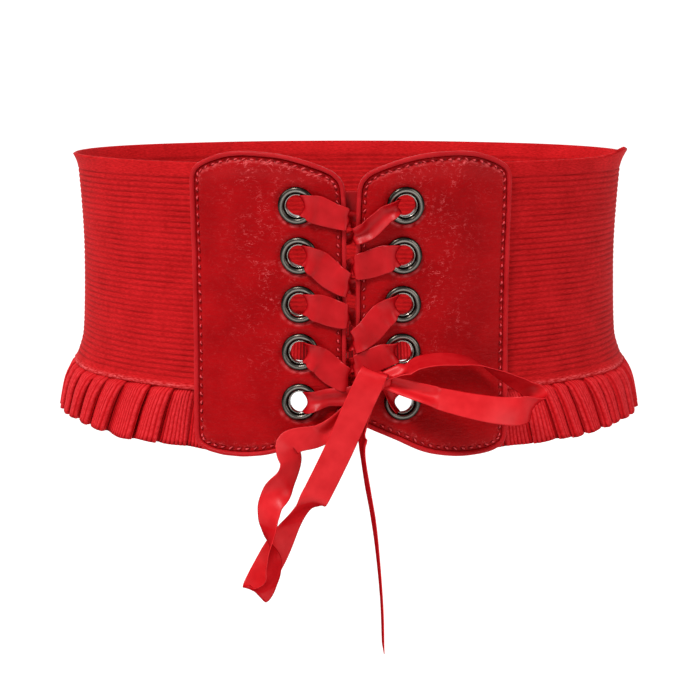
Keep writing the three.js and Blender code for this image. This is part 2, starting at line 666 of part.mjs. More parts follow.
// The knot, and ribbons that run into it and end at its surface
const KNOT_SIDES = 12;
const KNOT_RINGS = 8;

function knot(grow) {
  const shape = new THREE.SphereGeometry(1, KNOT_SIDES, KNOT_RINGS);
  shape.scale(KNOT.halfWidth + grow, KNOT.halfDepth + grow, KNOT.halfHeight + grow);
  shape.translate(KNOT.x, KNOT.y, KNOT.z);
  return toManifold(shape);
}

function tucked(shape) {
  return fromManifold(toManifold(shape).subtract(knot(GAP)));
}

const fromLeft = [...strand(-1, 'upper').slice(0, -1), ...LEFT_END].reverse();
const fromRight = [...strand(1, 'lower').slice(0, -1), ...RIGHT_END];
const laceStations = [...fromLeft, ...TOP_BAR, ...fromRight].map(lacePoint);
addPiece('lace', tucked(ribbon(laceStations)), 'ribbon');

// The bow: its rows become ribbon stations on smooth curves, three for every two rows
const STATIONS_PER_ROW = 1.5;
const UPRIGHT = new THREE.Vector3(0, 0, 1);
const LEVEL = new THREE.Vector3(1, 0, 0);
const TOWARDS_VIEWER = new THREE.Vector3(0, -1, 0);

// The direction between two others at right angles, at an angle from the first
function swing(from, to, degrees) {
  const angle = THREE.MathUtils.degToRad(degrees);
  return from.clone().multiplyScalar(Math.cos(angle)).addScaledVector(to, Math.sin(angle));
}

function bowRibbon(rows) {
  const samples = Math.round((rows.length - 1) * STATIONS_PER_ROW);
  const path = new THREE.CatmullRomCurve3(
    rows.map(({ x, y, z }) => new THREE.Vector3(x, y, z)),
    false,
    'centripetal',
  );
  return ribbon(Array.from({ length: samples + 1 }, (_, k) => {
    const at = k / samples;
    const row = Math.min(Math.floor(at * (rows.length - 1)), rows.length - 2);
    const share = at * (rows.length - 1) - row;
    const between = (column) => THREE.MathUtils.lerp(
      rows[row][column],
      rows[row + 1][column],
      share,
    );
    const flat = swing(UPRIGHT, LEVEL, between('lean'));
    const side = swing(flat, TOWARDS_VIEWER, between('turn'));
    return { centre: path.getPoint(at), side, width: between('width') };
  }));
}

addPiece('bow_knot', fromManifold(knot(0)), 'ribbon');
addPiece('bow_loop_right', tucked(bowRibbon(RIGHT_LOOP)), 'ribbon');
addPiece('bow_loop_left', tucked(bowRibbon(LEFT_LOOP)), 'ribbon');
addPiece('ribbon_tail_front', tucked(bowRibbon(TAIL_FRONT)), 'ribbon');
addPiece('ribbon_tail_back', tucked(bowRibbon(TAIL_BACK)), 'ribbon');

export default belt;
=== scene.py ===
# %% [markdown]
# # A wide lace-up waist belt
#
# The belt is a band of corded elastic with a pleated frill along its lower edge. Two
# faux-leather panels close it in front, and a satin ribbon laces them together through
# ten metal eyelets and is tied in a bow.
#
# Nearly every piece lies on the same curved surface, the waist. So each piece is first
# laid out flat, as it would be cut, and then bent round the waist by one function. The
# flat layout has three measures: across (arc length from the front centre), height
# (above the middle of the band) and out (distance outside the elastic's face).

# %% The frame
import math

import bpy
import numpy as np
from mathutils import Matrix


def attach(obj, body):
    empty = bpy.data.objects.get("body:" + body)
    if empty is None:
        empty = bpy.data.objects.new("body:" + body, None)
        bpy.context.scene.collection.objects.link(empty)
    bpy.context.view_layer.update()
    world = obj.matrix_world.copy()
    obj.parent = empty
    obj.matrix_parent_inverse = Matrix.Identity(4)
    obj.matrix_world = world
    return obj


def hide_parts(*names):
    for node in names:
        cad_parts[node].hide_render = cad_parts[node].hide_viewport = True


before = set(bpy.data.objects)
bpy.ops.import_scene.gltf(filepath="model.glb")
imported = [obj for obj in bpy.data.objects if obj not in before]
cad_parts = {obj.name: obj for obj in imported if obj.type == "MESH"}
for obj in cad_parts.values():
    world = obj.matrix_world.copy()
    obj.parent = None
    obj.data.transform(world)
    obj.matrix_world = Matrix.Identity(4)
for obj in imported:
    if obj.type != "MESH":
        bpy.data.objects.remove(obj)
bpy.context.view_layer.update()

# %% [markdown]
# ## Camera
# The photograph is taken from the front, a little above the belt and close to it, so
# the perspective matters: the far side of the waist looks clearly smaller. The place,
# the tilt and the focal length were found from points whose places are known.

# %% Camera
FOCAL_LENGTH_PIXELS = 1356.7
PHOTO_WIDTH_PIXELS = 700
SENSOR_WIDTH = 36.0
CAMERA_PLACE = (-0.0059, -0.6730, 0.0925)
CAMERA_TILT_DOWN = 11.85
CAMERA_YAW = 0.53

camera = bpy.data.objects.new("camera", bpy.data.cameras.new("camera"))
camera.data.sensor_width = SENSOR_WIDTH
camera.data.lens = SENSOR_WIDTH * (FOCAL_LENGTH_PIXELS / PHOTO_WIDTH_PIXELS)
camera.location = CAMERA_PLACE
camera.rotation_euler = (
    math.radians(90 - CAMERA_TILT_DOWN), 0, math.radians(-CAMERA_YAW),
)
bpy.context.collection.objects.link(camera)
bpy.context.scene.camera = camera

# %% [markdown]
# ## Helpers for curves
# A shape here is a short table of measured rows, and between the rows the value should
# run smoothly. A cubic piece between two rows, whose slope at a row is that of the line
# through its neighbours, does that, and swings out past the rows only a little.


# %% Reading a table smoothly
def read_table(place, places, values):
    """Values at any place, on cubic pieces: the slope at a row is that of the line
    from the row before it to the row after it."""
    places = np.asarray(places, float)
    values = np.asarray(values, float)
    place = np.asarray(place, float)
    last = len(places) - 1
    i = np.clip(np.searchsorted(places, place, side="right") - 1, 0, last - 1)
    before, after = np.maximum(i - 1, 0), np.minimum(i + 2, last)
    span = places[i + 1] - places[i]
    t = np.clip((place - places[i]) / span, 0, 1)
    run_0 = span / (places[i + 1] - places[before])
    run_1 = span / (places[after] - places[i])
    if values.ndim > 1:
        t, run_0, run_1 = t[..., None], run_0[..., None], run_1[..., None]
    p0, p1 = values[i], values[i + 1]
    m0 = (p1 - values[before]) * run_0
    m1 = (values[after] - p0) * run_1
    return (
        (2 * t**3 - 3 * t**2 + 1) * p0 + (t**3 - 2 * t**2 + t) * m0
        + (3 * t**2 - 2 * t**3) * p1 + (t**3 - t**2) * m1
    )


def lengths_along(points):
    """Distance walked along a path up to each of its points."""
    steps = np.linalg.norm(np.diff(points, axis=0), axis=1)
    return np.concatenate([[0.0], np.cumsum(steps)])


def smooth_step(value, low, high):
    """0 below low, 1 above high, and a soft S between them."""
    t = np.clip((value - low) / (high - low), 0, 1)
    return t * t * (3 - 2 * t)


def bell(value, middle, half_width):
    """1 at the middle, and falling to nothing on both sides of it."""
    return np.exp(-(((value - middle) / half_width) ** 2))


RIPPLE_WAVES = 8


def ripple(x, y, wavelength, seed):
    """A soft random surface, mostly between -1 and 1: sine waves of about one wavelength,
    each in its own direction, added up and divided by half their number."""
    draw = np.random.default_rng(seed)
    total = np.zeros(np.broadcast(x, y).shape)
    for _ in range(RIPPLE_WAVES):
        turn, start = draw.uniform(0, 2 * np.pi, 2)
        pitch = wavelength * draw.uniform(0.7, 1.5)
        along = x * np.cos(turn) + y * np.sin(turn)
        total += np.sin(2 * np.pi * along / pitch + start)
    return total / (RIPPLE_WAVES / 2)


# %% [markdown]
# ## The waist
# Seen from above the belt is close to an ellipse, and it flares a little above and below
# its narrowest height. The solid model has the same numbers, so that what is made here
# lies on it.

# %% Belt coordinates
MM = 0.001
WAIST_HALF_WIDTH = 131 * MM
WAIST_HALF_DEPTH = 86 * MM
FLARE_PROFILE = np.array([
    # height, out
    (-84, 7.8), (-75, 6.3), (-62, 4.9), (-51, 3.6), (-30, 1.4),
    (0, 0.0), (30, 0.5), (51, 1.7), (58, 2.2),
]) * MM

angle_table = np.linspace(-np.pi, 3 * np.pi, 8001)
step_middles = (angle_table[1:] + angle_table[:-1]) / 2
arc_steps = np.hypot(
    WAIST_HALF_WIDTH * np.cos(step_middles), WAIST_HALF_DEPTH * np.sin(step_middles)
) * np.diff(angle_table)
arc_table = np.concatenate([[0.0], np.cumsum(arc_steps)])
arc_table -= np.interp(0.0, angle_table, arc_table)
GIRTH = np.interp(2 * np.pi, angle_table, arc_table)
print("waist girth, mm:", round(GIRTH / MM, 1))


def belt_point(across, height, out):
    """Bends the flat layout round the waist: across becomes the angle of an ellipse,
    and both half axes grow by out and by the flare of the belt at that height."""
    across, height, out = np.broadcast_arrays(across, height, out)
    angle = np.interp(across, arc_table, angle_table)
    reach = read_table(height, FLARE_PROFILE[:, 0], FLARE_PROFILE[:, 1]) + out
    return np.stack([
        (WAIST_HALF_WIDTH + reach) * np.sin(angle),
        -(WAIST_HALF_DEPTH + reach) * np.cos(angle),
        height,
    ], axis=-1)


def unit(vectors):
    return vectors / np.linalg.norm(vectors, axis=-1, keepdims=True)


def belt_directions(across, height, out):
    """Unit vectors along the belt, up it and out of it, from small steps each way."""
    step = 0.5 * MM
    along = belt_point(across + step, height, out) - belt_point(across - step, height, out)
    up = belt_point(across, height + step, out) - belt_point(across, height - step, out)
    return unit(along), unit(up), unit(np.cross(along, up))


# %% [markdown]
# ## From a grid of points to a mesh
# Every surface is a grid of points, worked out as one array. Joining neighbours gives
# four-sided faces. A direction that goes right round is joined end to start. The flat
# measures are kept as the UV map, in metres, so that ribs, weave and grain follow the
# cloth wherever it bends.


# %% A grid of points becomes an object
def grid_faces(count_u, count_v, round_u=False, round_v=False):
    """Corner numbers of the four-sided faces of a grid of points."""
    number = np.arange(count_u * count_v).reshape(count_u, count_v)
    if round_u:
        number = np.concatenate([number, number[:1]], axis=0)
    if round_v:
        number = np.concatenate([number, number[:, :1]], axis=1)
    corners = [number[:-1, :-1], number[1:, :-1], number[1:, 1:], number[:-1, 1:]]
    return np.stack(corners, axis=-1)


def add_mesh(name, points, faces, uv_corners, extra_faces=()):
    """An object from points (n, 3), four-sided faces (f, 4) and the UV of each of their
    corners (f, 4, 2). extra_faces are caps, as lists of corner numbers."""
    mesh = bpy.data.meshes.new(name)
    caps = [np.asarray(face) for face in extra_faces]
    loops = np.concatenate([faces.ravel(), *caps]).astype(np.int32)
    sizes = np.array([4] * len(faces) + [len(face) for face in caps], np.int32)
    starts = np.concatenate([[0], np.cumsum(sizes)[:-1]]).astype(np.int32)
    mesh.vertices.add(len(points))
    mesh.vertices.foreach_set("co", np.ascontiguousarray(points, np.float32).ravel())
    mesh.loops.add(len(loops))
    mesh.loops.foreach_set("vertex_index", loops)
    mesh.polygons.add(len(sizes))
    mesh.polygons.foreach_set("loop_start", starts)
    mesh.polygons.foreach_set("use_smooth", np.ones(len(sizes), bool))
    uv = np.zeros((len(loops), 2), np.float32)
    uv[: faces.size] = uv_corners.reshape(-1, 2)
    mesh.uv_layers.new(name="UVMap").data.foreach_set("uv", uv.ravel())
    mesh.update(calc_edges=True)
    mesh.validate()
    piece = bpy.data.objects.new(name, mesh)
    bpy.context.collection.objects.link(piece)
    return piece


def add_surface(name, points, uv, keep=None, round_u=False, round_v=False):
    """An object from a grid of points (u, v, 3). uv has one more row or column where
    the grid goes round. keep says which faces stay."""
    count_u, count_v = points.shape[:2]
    faces = grid_faces(count_u, count_v, round_u, round_v)
    corners = grid_faces(*uv.shape[:2])
    if keep is not None:
        faces, corners = faces[keep], corners[keep]
    return add_mesh(
        name, points.reshape(-1, 3), faces.reshape(-1, 4),
        uv.reshape(-1, 2)[corners.reshape(-1, 4)],
    )


def paint(piece, name, values):
    """Keeps a number for each point, which the material reads by its name. "shade": 0
    leaves the colour as it is, -1 is as dark and 1 as pale as the material goes."""
    layer = piece.data.attributes.new(name, "FLOAT", "POINT")
    layer.data.foreach_set("value", np.ascontiguousarray(values, np.float32).ravel())


def thicken(piece, thickness, offset):
    """Gives a surface its wall. offset -1 keeps the surface outside, 0 in the middle."""
    wall = piece.modifiers.new("wall", "SOLIDIFY")
    wall.thickness = thickness
    wall.offset = offset
    wall.use_even_offset = False


def meshgrid(first, second):
    return np.meshgrid(first, second, indexing="ij")


# %% [markdown]
# ## Finishes
# Four kinds of finish: knitted cloth, coated faux leather, satin and antique metal, and
# a plain one for the sewing thread. The elastic and the ruffle are the same cloth in two
# tones, and so are the panels and their rims. The lace is a darker copy of the bow's
# satin, painted shade for the lace. Each is a Principled shader with its plain numbers
# on its own sockets, and nodes only where the finish changes over the surface.
#
# Some painted light and shade belongs to a place on the piece: painted shade in the
# groove between two cords and in the dimple where a thread goes in, painted highlights
# on cords and ridges that stand up, painted reflections on the eyelets. They are worked
# out with the mesh and kept as a number at each point, "shade", which every material
# here draws towards a dark or a pale colour.


# %% Helpers for shader nodes
def new_material(name, **sockets):
    """A material with a Principled shader, whose sockets are set by name."""
    material = bpy.data.materials.new(name)
    material.use_nodes = True
    shader = material.node_tree.nodes["Principled BSDF"]
    for socket, value in sockets.items():
        shader.inputs[socket.replace("_", " ")].default_value = value
    return material, shader


def add_node(shader, kind, inputs=None, **settings):
    """A node beside the shader. inputs maps a socket, by name or number, to a value or
    to another node's output."""
    tree = shader.id_data
    node = tree.nodes.new("ShaderNode" + kind)
    for key, value in settings.items():
        setattr(node, key, value)
    for key, value in (inputs or {}).items():
        if isinstance(value, bpy.types.NodeSocket):
            tree.links.new(value, node.inputs[key])
        else:
            node.inputs[key].default_value = value
    return node


def link(shader, output, socket):
    shader.id_data.links.new(output, shader.inputs[socket])


def surface_mm(shader, stretch=(1, 1, 1)):
    """The piece's UV map in millimetres, each direction stretched by a factor."""
    place = add_node(shader, "UVMap", uv_map="UVMap")
    scale = [1000 * factor for factor in stretch]
    mapping = add_node(shader, "Mapping", {"Vector": place.outputs["UV"], "Scale": scale})
    return mapping.outputs["Vector"]


def noise(shader, place, scale, detail, **more):
    """A soft noise, read at a place. more sets the texture's other sockets."""
    inputs = {"Vector": place, "Scale": scale, "Detail": detail, **more}
    return add_node(shader, "TexNoise", inputs).outputs["Fac"]


def bump(shader, height, strength, distance, **more):
    """The direction of a surface that a height makes uneven. more can give the Normal
    of a finer bump below it."""
    inputs = {"Height": height, "Strength": strength, "Distance": distance, **more}
    return add_node(shader, "Bump", inputs).outputs["Normal"]


def multiply(shader, first, second):
    """A product between 0 and 1."""
    node = add_node(shader, "Math", {0: first, 1: second}, operation="MULTIPLY", use_clamp=True)
    return node.outputs[0]


def remap(shader, value, low, high, out_low=0.0, out_high=1.0):
    """The value carried from low..high to out_low..out_high, and held at its ends."""
    node = add_node(shader, "MapRange", {
        "Value": value, "From Min": low, "From Max": high, "To Min": out_low, "To Max": out_high,
    })
    return node.outputs["Result"]


def blend(shader, share, colour, target):
    """The colour drawn towards the target by a share between 0 and 1."""
    node = add_node(shader, "Mix", {"Factor": share, "A": colour, "B": target}, data_type="RGBA")
    return node.outputs["Result"]


def attribute(shader, name):
    return add_node(shader, "Attribute", attribute_name=name).outputs["Fac"]


def shaded(shader, colour, deep, pale, speckle=1.0):
    """The colour drawn towards deep or pale by the attribute "shade". The pale side may
    be broken up by a speckle."""
    shade = attribute(shader, "shade")
    colour = blend(shader, multiply(shader, shade, -1.0), colour, deep)
    return blend(shader, multiply(shader, multiply(shader, shade, 1.0), speckle), colour, pale)


def screen_colour(level_r, level_g, level_b):
    """A colour given as screen values from 0 to 255, as the linear one of a shader."""
    screen = np.array([level_r, level_g, level_b]) / 255
    linear = np.where(screen <= 0.04045, screen / 12.92, ((screen + 0.055) / 1.055) ** 2.4)
    return (*[float(c) for c in linear], 1.0)


def tones(*levels):
    """Several colours at once, each from its three screen values."""
    return [screen_colour(*three) for three in levels]


# %% [markdown]
# ### Knitted elastic and ruffle cloth
# The ribs are in the mesh. The shader adds the knit between them: short stitches along
# each cord, with a painted highlight where the yarn stands up, and a very rough surface,
# because yarn has loose fibres that scatter the light.


# %% Knitted cloth
def cloth_material(name, deep, dark, light, pale, stretch, smooth):
    material, shader = new_material(name, Roughness=0.85, Specular_IOR_Level=0.12)
    knit = noise(shader, surface_mm(shader, stretch), 1.1, 3.0, Roughness=0.65)
    cloud = noise(shader, surface_mm(shader), 0.09, 2.0)
    both = add_node(shader, "Math", {0: cloud, 1: 0.35, 2: knit}, operation="MULTIPLY_ADD")
    # Painted highlight where the knit stands higher, over a slow random tone
    colour = blend(shader, remap(shader, both.outputs[0], 0.48, 0.87), dark, light)
    speckle = remap(shader, knit, 0.42, 0.58, smooth, 1.0)
    link(shader, shaded(shader, colour, deep, pale, speckle), "Base Color")
    link(shader, bump(shader, knit, 0.6, 0.0003), "Normal")
    return material


elastic_cloth = cloth_material(
    "elastic_cloth", *tones((116, 0, 2), (178, 8, 12), (220, 28, 33), (252, 120, 122)),
    (0.4, 1.6, 1), 0.0,
)
ruffle_cloth = cloth_material(
    "ruffle_cloth", *tones((112, 0, 4), (188, 6, 14), (218, 20, 28), (238, 60, 66)),
    (1.4, 0.5, 1), 0.5,
)

# %% [markdown]
# ### Faux leather
# A smooth red coating over cloth, wrinkled with use into short fine creases. Each crease
# gets a painted glint, a thin pale line where a tilted noise passes through its middle
# value, which draws it like a contour on a map. A second noise breaks the lines up, and
# the number "glint" says where on the panel they show. The same tilted noise and a fine
# cell pattern, the grain, give the surface its bumps.


# %% Faux leather
def leather_material(name, deep, dark, light, pale, roughness):
    material, shader = new_material(
        name, Roughness=roughness, Specular_IOR_Level=0.06,
        Coat_Weight=0.05, Coat_Roughness=0.16,
    )
    place = surface_mm(shader)
    colour = blend(shader, remap(shader, noise(shader, place, 0.05, 2.0), 0.35, 0.65), dark, light)
    tilted = add_node(shader, "Mapping", {
        "Vector": place, "Rotation": (0, 0, CREASE_TILT), "Scale": (0.45, 1.0, 1),
    }).outputs["Vector"]
    crinkle = noise(shader, tilted, 0.75, 3.0, Roughness=0.55, Distortion=0.5)
    from_middle = add_node(shader, "Math", {0: crinkle, 1: 0.5}, operation="SUBTRACT")
    distance = add_node(shader, "Math", {0: from_middle.outputs[0]}, operation="ABSOLUTE")
    crease = remap(shader, distance.outputs[0], 0.0, CREASE_HALF_WIDTH, 1.0, 0.0)
    breaks = remap(shader, noise(shader, place, 0.40, 2.0), 0.45, 0.60)
    crease = multiply(shader, crease, breaks)
    # Painted glints on the creases, where the panel's number says they show
    crease_glint = multiply(shader, crease, attribute(shader, "glint"))
    colour = shaded(shader, blend(shader, crease_glint, colour, pale), deep, pale)
    link(shader, colour, "Base Color")
    grain = add_node(shader, "TexVoronoi", {"Vector": place, "Scale": 1.6}, feature="F1")
    fine = bump(shader, grain.outputs["Distance"], 0.2, 0.0002)
    coarse = bump(shader, crinkle, 0.5, 0.0006, Normal=fine)
    link(shader, coarse, "Normal")
    link(shader, coarse, "Coat Normal")
    return material


CREASE_TILT, CREASE_HALF_WIDTH = math.radians(-35), 0.028
panel_leather = leather_material(
    "panel_leather", *tones((70, 0, 2), (160, 4, 10), (180, 10, 16), (236, 96, 98)), 0.40,
)
rim_leather = leather_material(
    "rim_leather", *tones((110, 0, 4), (186, 24, 30), (202, 34, 40), (236, 96, 98)), 0.45,
)

# %% [markdown]
# ### Satin ribbon, thread and metal
# Satin is woven so that long threads lie on its face: smooth, with a soft wide gloss.
# It shines where it faces you and goes deep and dull where it turns away: its colour is
# a painted sheen that darkens with the angle at which it is seen, and its gloss follows
# that angle too. The eyelets are nickel with a dark antique finish, and painted
# reflections: bright on the inner lip and the top of the dome, dark in the groove and
# along the outer edge.


# %% Satin, thread and metal
def satin_material(name, deep, dark, light):
    material, shader = new_material(name, Roughness=0.38)
    threads = noise(shader, surface_mm(shader, (0.4, 5, 1)), 1.0, 2.0)
    cloud = noise(shader, surface_mm(shader), 0.12, 2.0)
    colour = blend(shader, remap(shader, cloud, 0.3, 0.7), dark, light)
    turned = add_node(shader, "LayerWeight", {"Blend": 0.5}).outputs["Facing"]
    # Painted sheen: the colour is drawn towards deep where the surface turns away from the view
    colour = blend(shader, remap(shader, turned, 0.2, 0.9, 0.0, 0.75), colour, deep)
    link(shader, colour, "Base Color")
    link(shader, remap(shader, turned, 0.1, 0.45, 0.24, 0.0), "Specular IOR Level")
    link(shader, bump(shader, threads, 0.25, 0.0001), "Normal")
    return material


RIBBON_WIDTH = 12.5 * MM
ribbon_satin = satin_material("ribbon_satin", *tones((116, 0, 4), (218, 22, 30), (236, 39, 45)))
# A darker copy of the ribbon's satin, painted shade on the lace
shaded_lace_satin = satin_material("shaded_lace_satin", *tones((104, 0, 4), (188, 12, 20), (210, 25, 33)))
thread_finish, _ = new_material(
    "seam_thread", Base_Color=screen_colour(228, 74, 80), Roughness=0.6, Specular_IOR_Level=0.2,
)


def metal_material(name):
    material, shader = new_material(name, Metallic=1.0, Roughness=0.25)
    place = add_node(shader, "TexCoord").outputs["Object"]
    tarnish = remap(shader, noise(shader, place, 400.0, 3.0), 0.35, 0.7)
    colour = blend(shader, tarnish, screen_colour(50, 44, 39), screen_colour(76, 69, 62))
    # Painted reflections: a pale colour for the bright rings and a near black one for the dark ones
    painted_highlight, painted_dark = screen_colour(240, 232, 220), screen_colour(22, 17, 14)
    link(shader, shaded(shader, colour, painted_dark, painted_highlight), "Base Color")
    return material


antique_nickel = metal_material("antique_nickel")


def finish_piece(piece, material, slot, *nodes):
    """Gives a piece its material, the body that it rides on and the plain solids that it
    stands for. slot is not used."""
    piece.data.materials.append(material)
    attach(piece, "root")
    if nodes:
        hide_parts(*nodes)
    print(f"{piece.name}: {len(piece.data.polygons)} faces before its modifiers")
    return piece


# %% [markdown]
# ## The elastic band
# A strip of wide elastic, 102 mm high, whose rubber cords lie side by side and run
# round the waist. It could be a smooth strip with a bump for the cords, but their
# shadows show at the sides of the waist and in any close view, so each cord is in the
# mesh: five rows of points per cord, crest and groove. Along its top the cloth ends in
# a plain woven edge that curls out a little at the sides.

# %% Elastic band
BAND_HALF_HEIGHT = 51 * MM
BAND_END = 58 * MM
ELASTIC_THICKNESS = 1.4 * MM
CORD_PITCH = 2.5 * MM
CORD_DEPTH = 0.6 * MM
RIDGE_AT, RIDGE_HALF_WIDTH, RIDGE_HEIGHT, RIDGE_BUMP = -49.9 * MM, 0.85 * MM, 0.8 * MM, 2.4 * MM
SIDE_FLARE, FLARE_SIDES, FLARE_HEIGHTS = 4.2 * MM, (98 * MM, 138 * MM), (36 * MM, 60 * MM)
CORDS_FROM, CORDS_TO = -48.5 * MM, 46.5 * MM
ROWS_PER_CORD = 5
SELVEDGE_FROM = 44 * MM
SELVEDGE_CURL = 1.8 * MM
CURL_SIDES = (95 * MM, 146 * MM)
TIP_ACROSS, TIP_WIDTH, TIP_LIFT = 146 * MM, 12 * MM, 3.2 * MM
BAND_COLUMNS = 190


def side_flare(side, height):
    """At its two sides the waist widens towards the hem: an S across times an S down."""
    return SIDE_FLARE * smooth_step(np.abs(side), *FLARE_SIDES) * smooth_step(-height, *FLARE_HEIGHTS)


def cord_grooves(height, across):
    """How deep the grooves between the cords are, from 0 to about 1: one minus the root
    of |sin|, over a height that wavers slowly along each cord."""
    wavered = height + 0.22 * MM * ripple(across, height * 2, 38 * MM, 1)
    phase = np.pi * (wavered - CORDS_FROM) / CORD_PITCH
    inside = smooth_step(height, CORDS_FROM, CORDS_FROM + CORD_PITCH)
    inside = inside * (1 - smooth_step(height, CORDS_TO - CORD_PITCH, CORDS_TO))
    strength = 0.85 + 0.2 * ripple(across, height, 30 * MM, 2)
    return inside * strength * (1 - np.sqrt(np.abs(np.sin(phase))))


def gather_ridge(height, across):
    """The ridge where the ruffle is sewn on: a bell across it, bumpy along it."""
    bumps = 0.65 + 0.35 * ripple(across, 0 * across, RIDGE_BUMP, 4)
    return bumps * bell(height, RIDGE_AT, RIDGE_HALF_WIDTH)


def band_surface(across, height, out):
    """The face of the elastic: flat round the waist, curled out along its top edge at
    the sides, with one tip of the edge standing up."""
    side = np.where(across > GIRTH / 2, across - GIRTH, across)
    edge = np.clip((height - SELVEDGE_FROM) / (BAND_HALF_HEIGHT - SELVEDGE_FROM), 0, 1) ** 2
    tip = bell(side, TIP_ACROSS, TIP_WIDTH)
    curl = SELVEDGE_CURL * smooth_step(np.abs(side), *CURL_SIDES) * edge * (1 + tip)
    return belt_point(across, height + TIP_LIFT * tip * edge, out + curl + side_flare(side, height))


cord_rows = int(round((CORDS_TO - CORDS_FROM) / CORD_PITCH * ROWS_PER_CORD))
band_heights = np.concatenate([
    np.linspace(-BAND_HALF_HEIGHT, CORDS_FROM, 9)[:-1],
    np.linspace(CORDS_FROM, CORDS_TO, cord_rows + 1),
    np.linspace(CORDS_TO, BAND_HALF_HEIGHT, 7)[1:],
])
across, height = meshgrid(np.linspace(BAND_END, GIRTH - BAND_END, BAND_COLUMNS), band_heights)
grooves, ridge = cord_grooves(height, across), gather_ridge(height, across)
relief = RIDGE_HEIGHT * ridge - CORD_DEPTH * grooves + 0.25 * MM * ripple(across, height, 60 * MM, 3)
elastic = add_surface(
    "corded_elastic", band_surface(across, height, relief), np.stack([across, height], -1),
)
# Painted shade in the grooves between the cords and a painted highlight along the ridge
paint(elastic, "shade", 0.7 * ridge - 0.75 * grooves)
thicken(elastic, ELASTIC_THICKNESS, -1)
finish_piece(elastic, elastic_cloth, "elastic", "elastic_band")

# %% [markdown]
# ## The ruffle
# The frill is a second strip of thin corded elastic, 1.6 times as long as the edge that
# it is sewn to. It is folded into knife pleats: each leaf rises to a round edge, turns
# back under it, and starts again. Seen from above, one pleat is a flat S. The S
# is a table of points, read smoothly, and repeated round the waist with a width and a
# depth of its own each time. At the head the pleats are pressed together, and at the
# hem they fan out. The cords run down the pleats here, so they are added along the S.

# %% Ruffle: one pleat
RUFFLE_END = 60 * MM
RUFFLE_THICKNESS = 0.9 * MM
RUFFLE_CORD_PITCH = 1.8 * MM
RUFFLE_CORD_DEPTH = 0.5 * MM
PLEAT_RUNS = [
    # pleats, width of each at the head
    (6, 8.9), (4, 8.6), (30, 12.0), (3, 11.5), (2, 8.4), (4, 12.6),
]
PLEAT_PATH = np.array([
    # share of the cloth, place at the head, place at the hem, rise
    (0.00, 0.00, 0.00, 0.00),
    (0.08, 0.08, 0.10, 0.12),
    (0.24, 0.28, 0.34, 0.50),
    (0.42, 0.52, 0.64, 0.80),
    (0.56, 0.74, 0.88, 0.97),
    (0.63, 0.86, 0.98, 1.00),
    (0.69, 0.93, 1.03, 0.88),
    (0.76, 0.92, 0.99, 0.60),
    (0.85, 0.86, 0.88, 0.30),
    (0.93, 0.90, 0.90, 0.08),
    (1.00, 1.00, 1.00, 0.00),
])
RUFFLE_ROWS = np.array([
    # height, out, lean from head to hem, rise
    (-46.0, -2.95, 0.00, 0.5),
    (-50.0, -2.95, 0.00, 0.6),
    (-51.3, -2.30, 0.03, 1.5),
    (-51.9, -1.00, 0.10, 2.6),
    (-52.8, 0.10, 0.20, 3.4),
    (-55.0, 0.80, 0.33, 4.2),
    (-62.0, 2.40, 0.60, 5.2),
    (-76.3, 4.90, 1.00, 6.0),
])
FLAT_FROM, FLAT_TO, FLAT_OUT, FLAT_RISE = 68 * MM, 86 * MM, -2.3 * MM, 0.9 * MM
COLUMNS_PER_PLEAT = 60
RUFFLE_ROW_COUNT = 16
HEM_LIFT, HEM_TUCK, FLAT_HEM_DROP = 2.7 * MM, 1.9 * MM, 1.2 * MM
HEM_RIPPLE, HEM_RIPPLE_LENGTH, HEM_FOLLOWS_PLEAT = 0.5 * MM, 22 * MM, 0.15
BACK_REACH = 60 * MM
HEM_SHIFT, SHIFT_FROM, SHIFT_TO = 6.5 * MM, 60 * MM, 74 * MM
CALM_SIDE, CALM_REACH, CALM_RISE = 152 * MM, 45 * MM, 0.45

# %% Ruffle: the whole strip
pleat_widths = np.concatenate([[width] * count for count, width in PLEAT_RUNS]) * MM
pleat_count = len(pleat_widths)
draw = np.random.default_rng(11)
pleat_widths *= draw.uniform(0.72, 1.28, pleat_count)
pleat_widths *= (GIRTH - 2 * RUFFLE_END) / pleat_widths.sum()
pleat_starts = RUFFLE_END + np.concatenate([[0.0], np.cumsum(pleat_widths)[:-1]])
pleat_rises = draw.uniform(0.65, 1.15, pleat_count)
pleat_slants = draw.uniform(-0.10, 0.10, pleat_count)
mirrored = pleat_starts + pleat_widths / 2 < GIRTH / 2

share = np.tile(np.arange(COLUMNS_PER_PLEAT) / COLUMNS_PER_PLEAT, pleat_count)
which = np.repeat(np.arange(pleat_count), COLUMNS_PER_PLEAT)
cloth_share = np.where(mirrored[which], 1 - share, share)
path = read_table(cloth_share, PLEAT_PATH[:, 0], PLEAT_PATH[:, 1:])
head, hem, rise = path.T
head = np.where(mirrored[which], 1 - head, head)
hem = np.where(mirrored[which], 1 - hem, hem)

row_at = np.linspace(0, 1, RUFFLE_ROW_COUNT) ** 1.15
row_lengths = lengths_along(RUFFLE_ROWS[:, :2] * MM)
rows = read_table(row_at * row_lengths[-1], row_lengths, RUFFLE_ROWS)
row_height, row_out, row_lean, row_rise = rows.T * np.array([[MM], [MM], [1], [MM]])

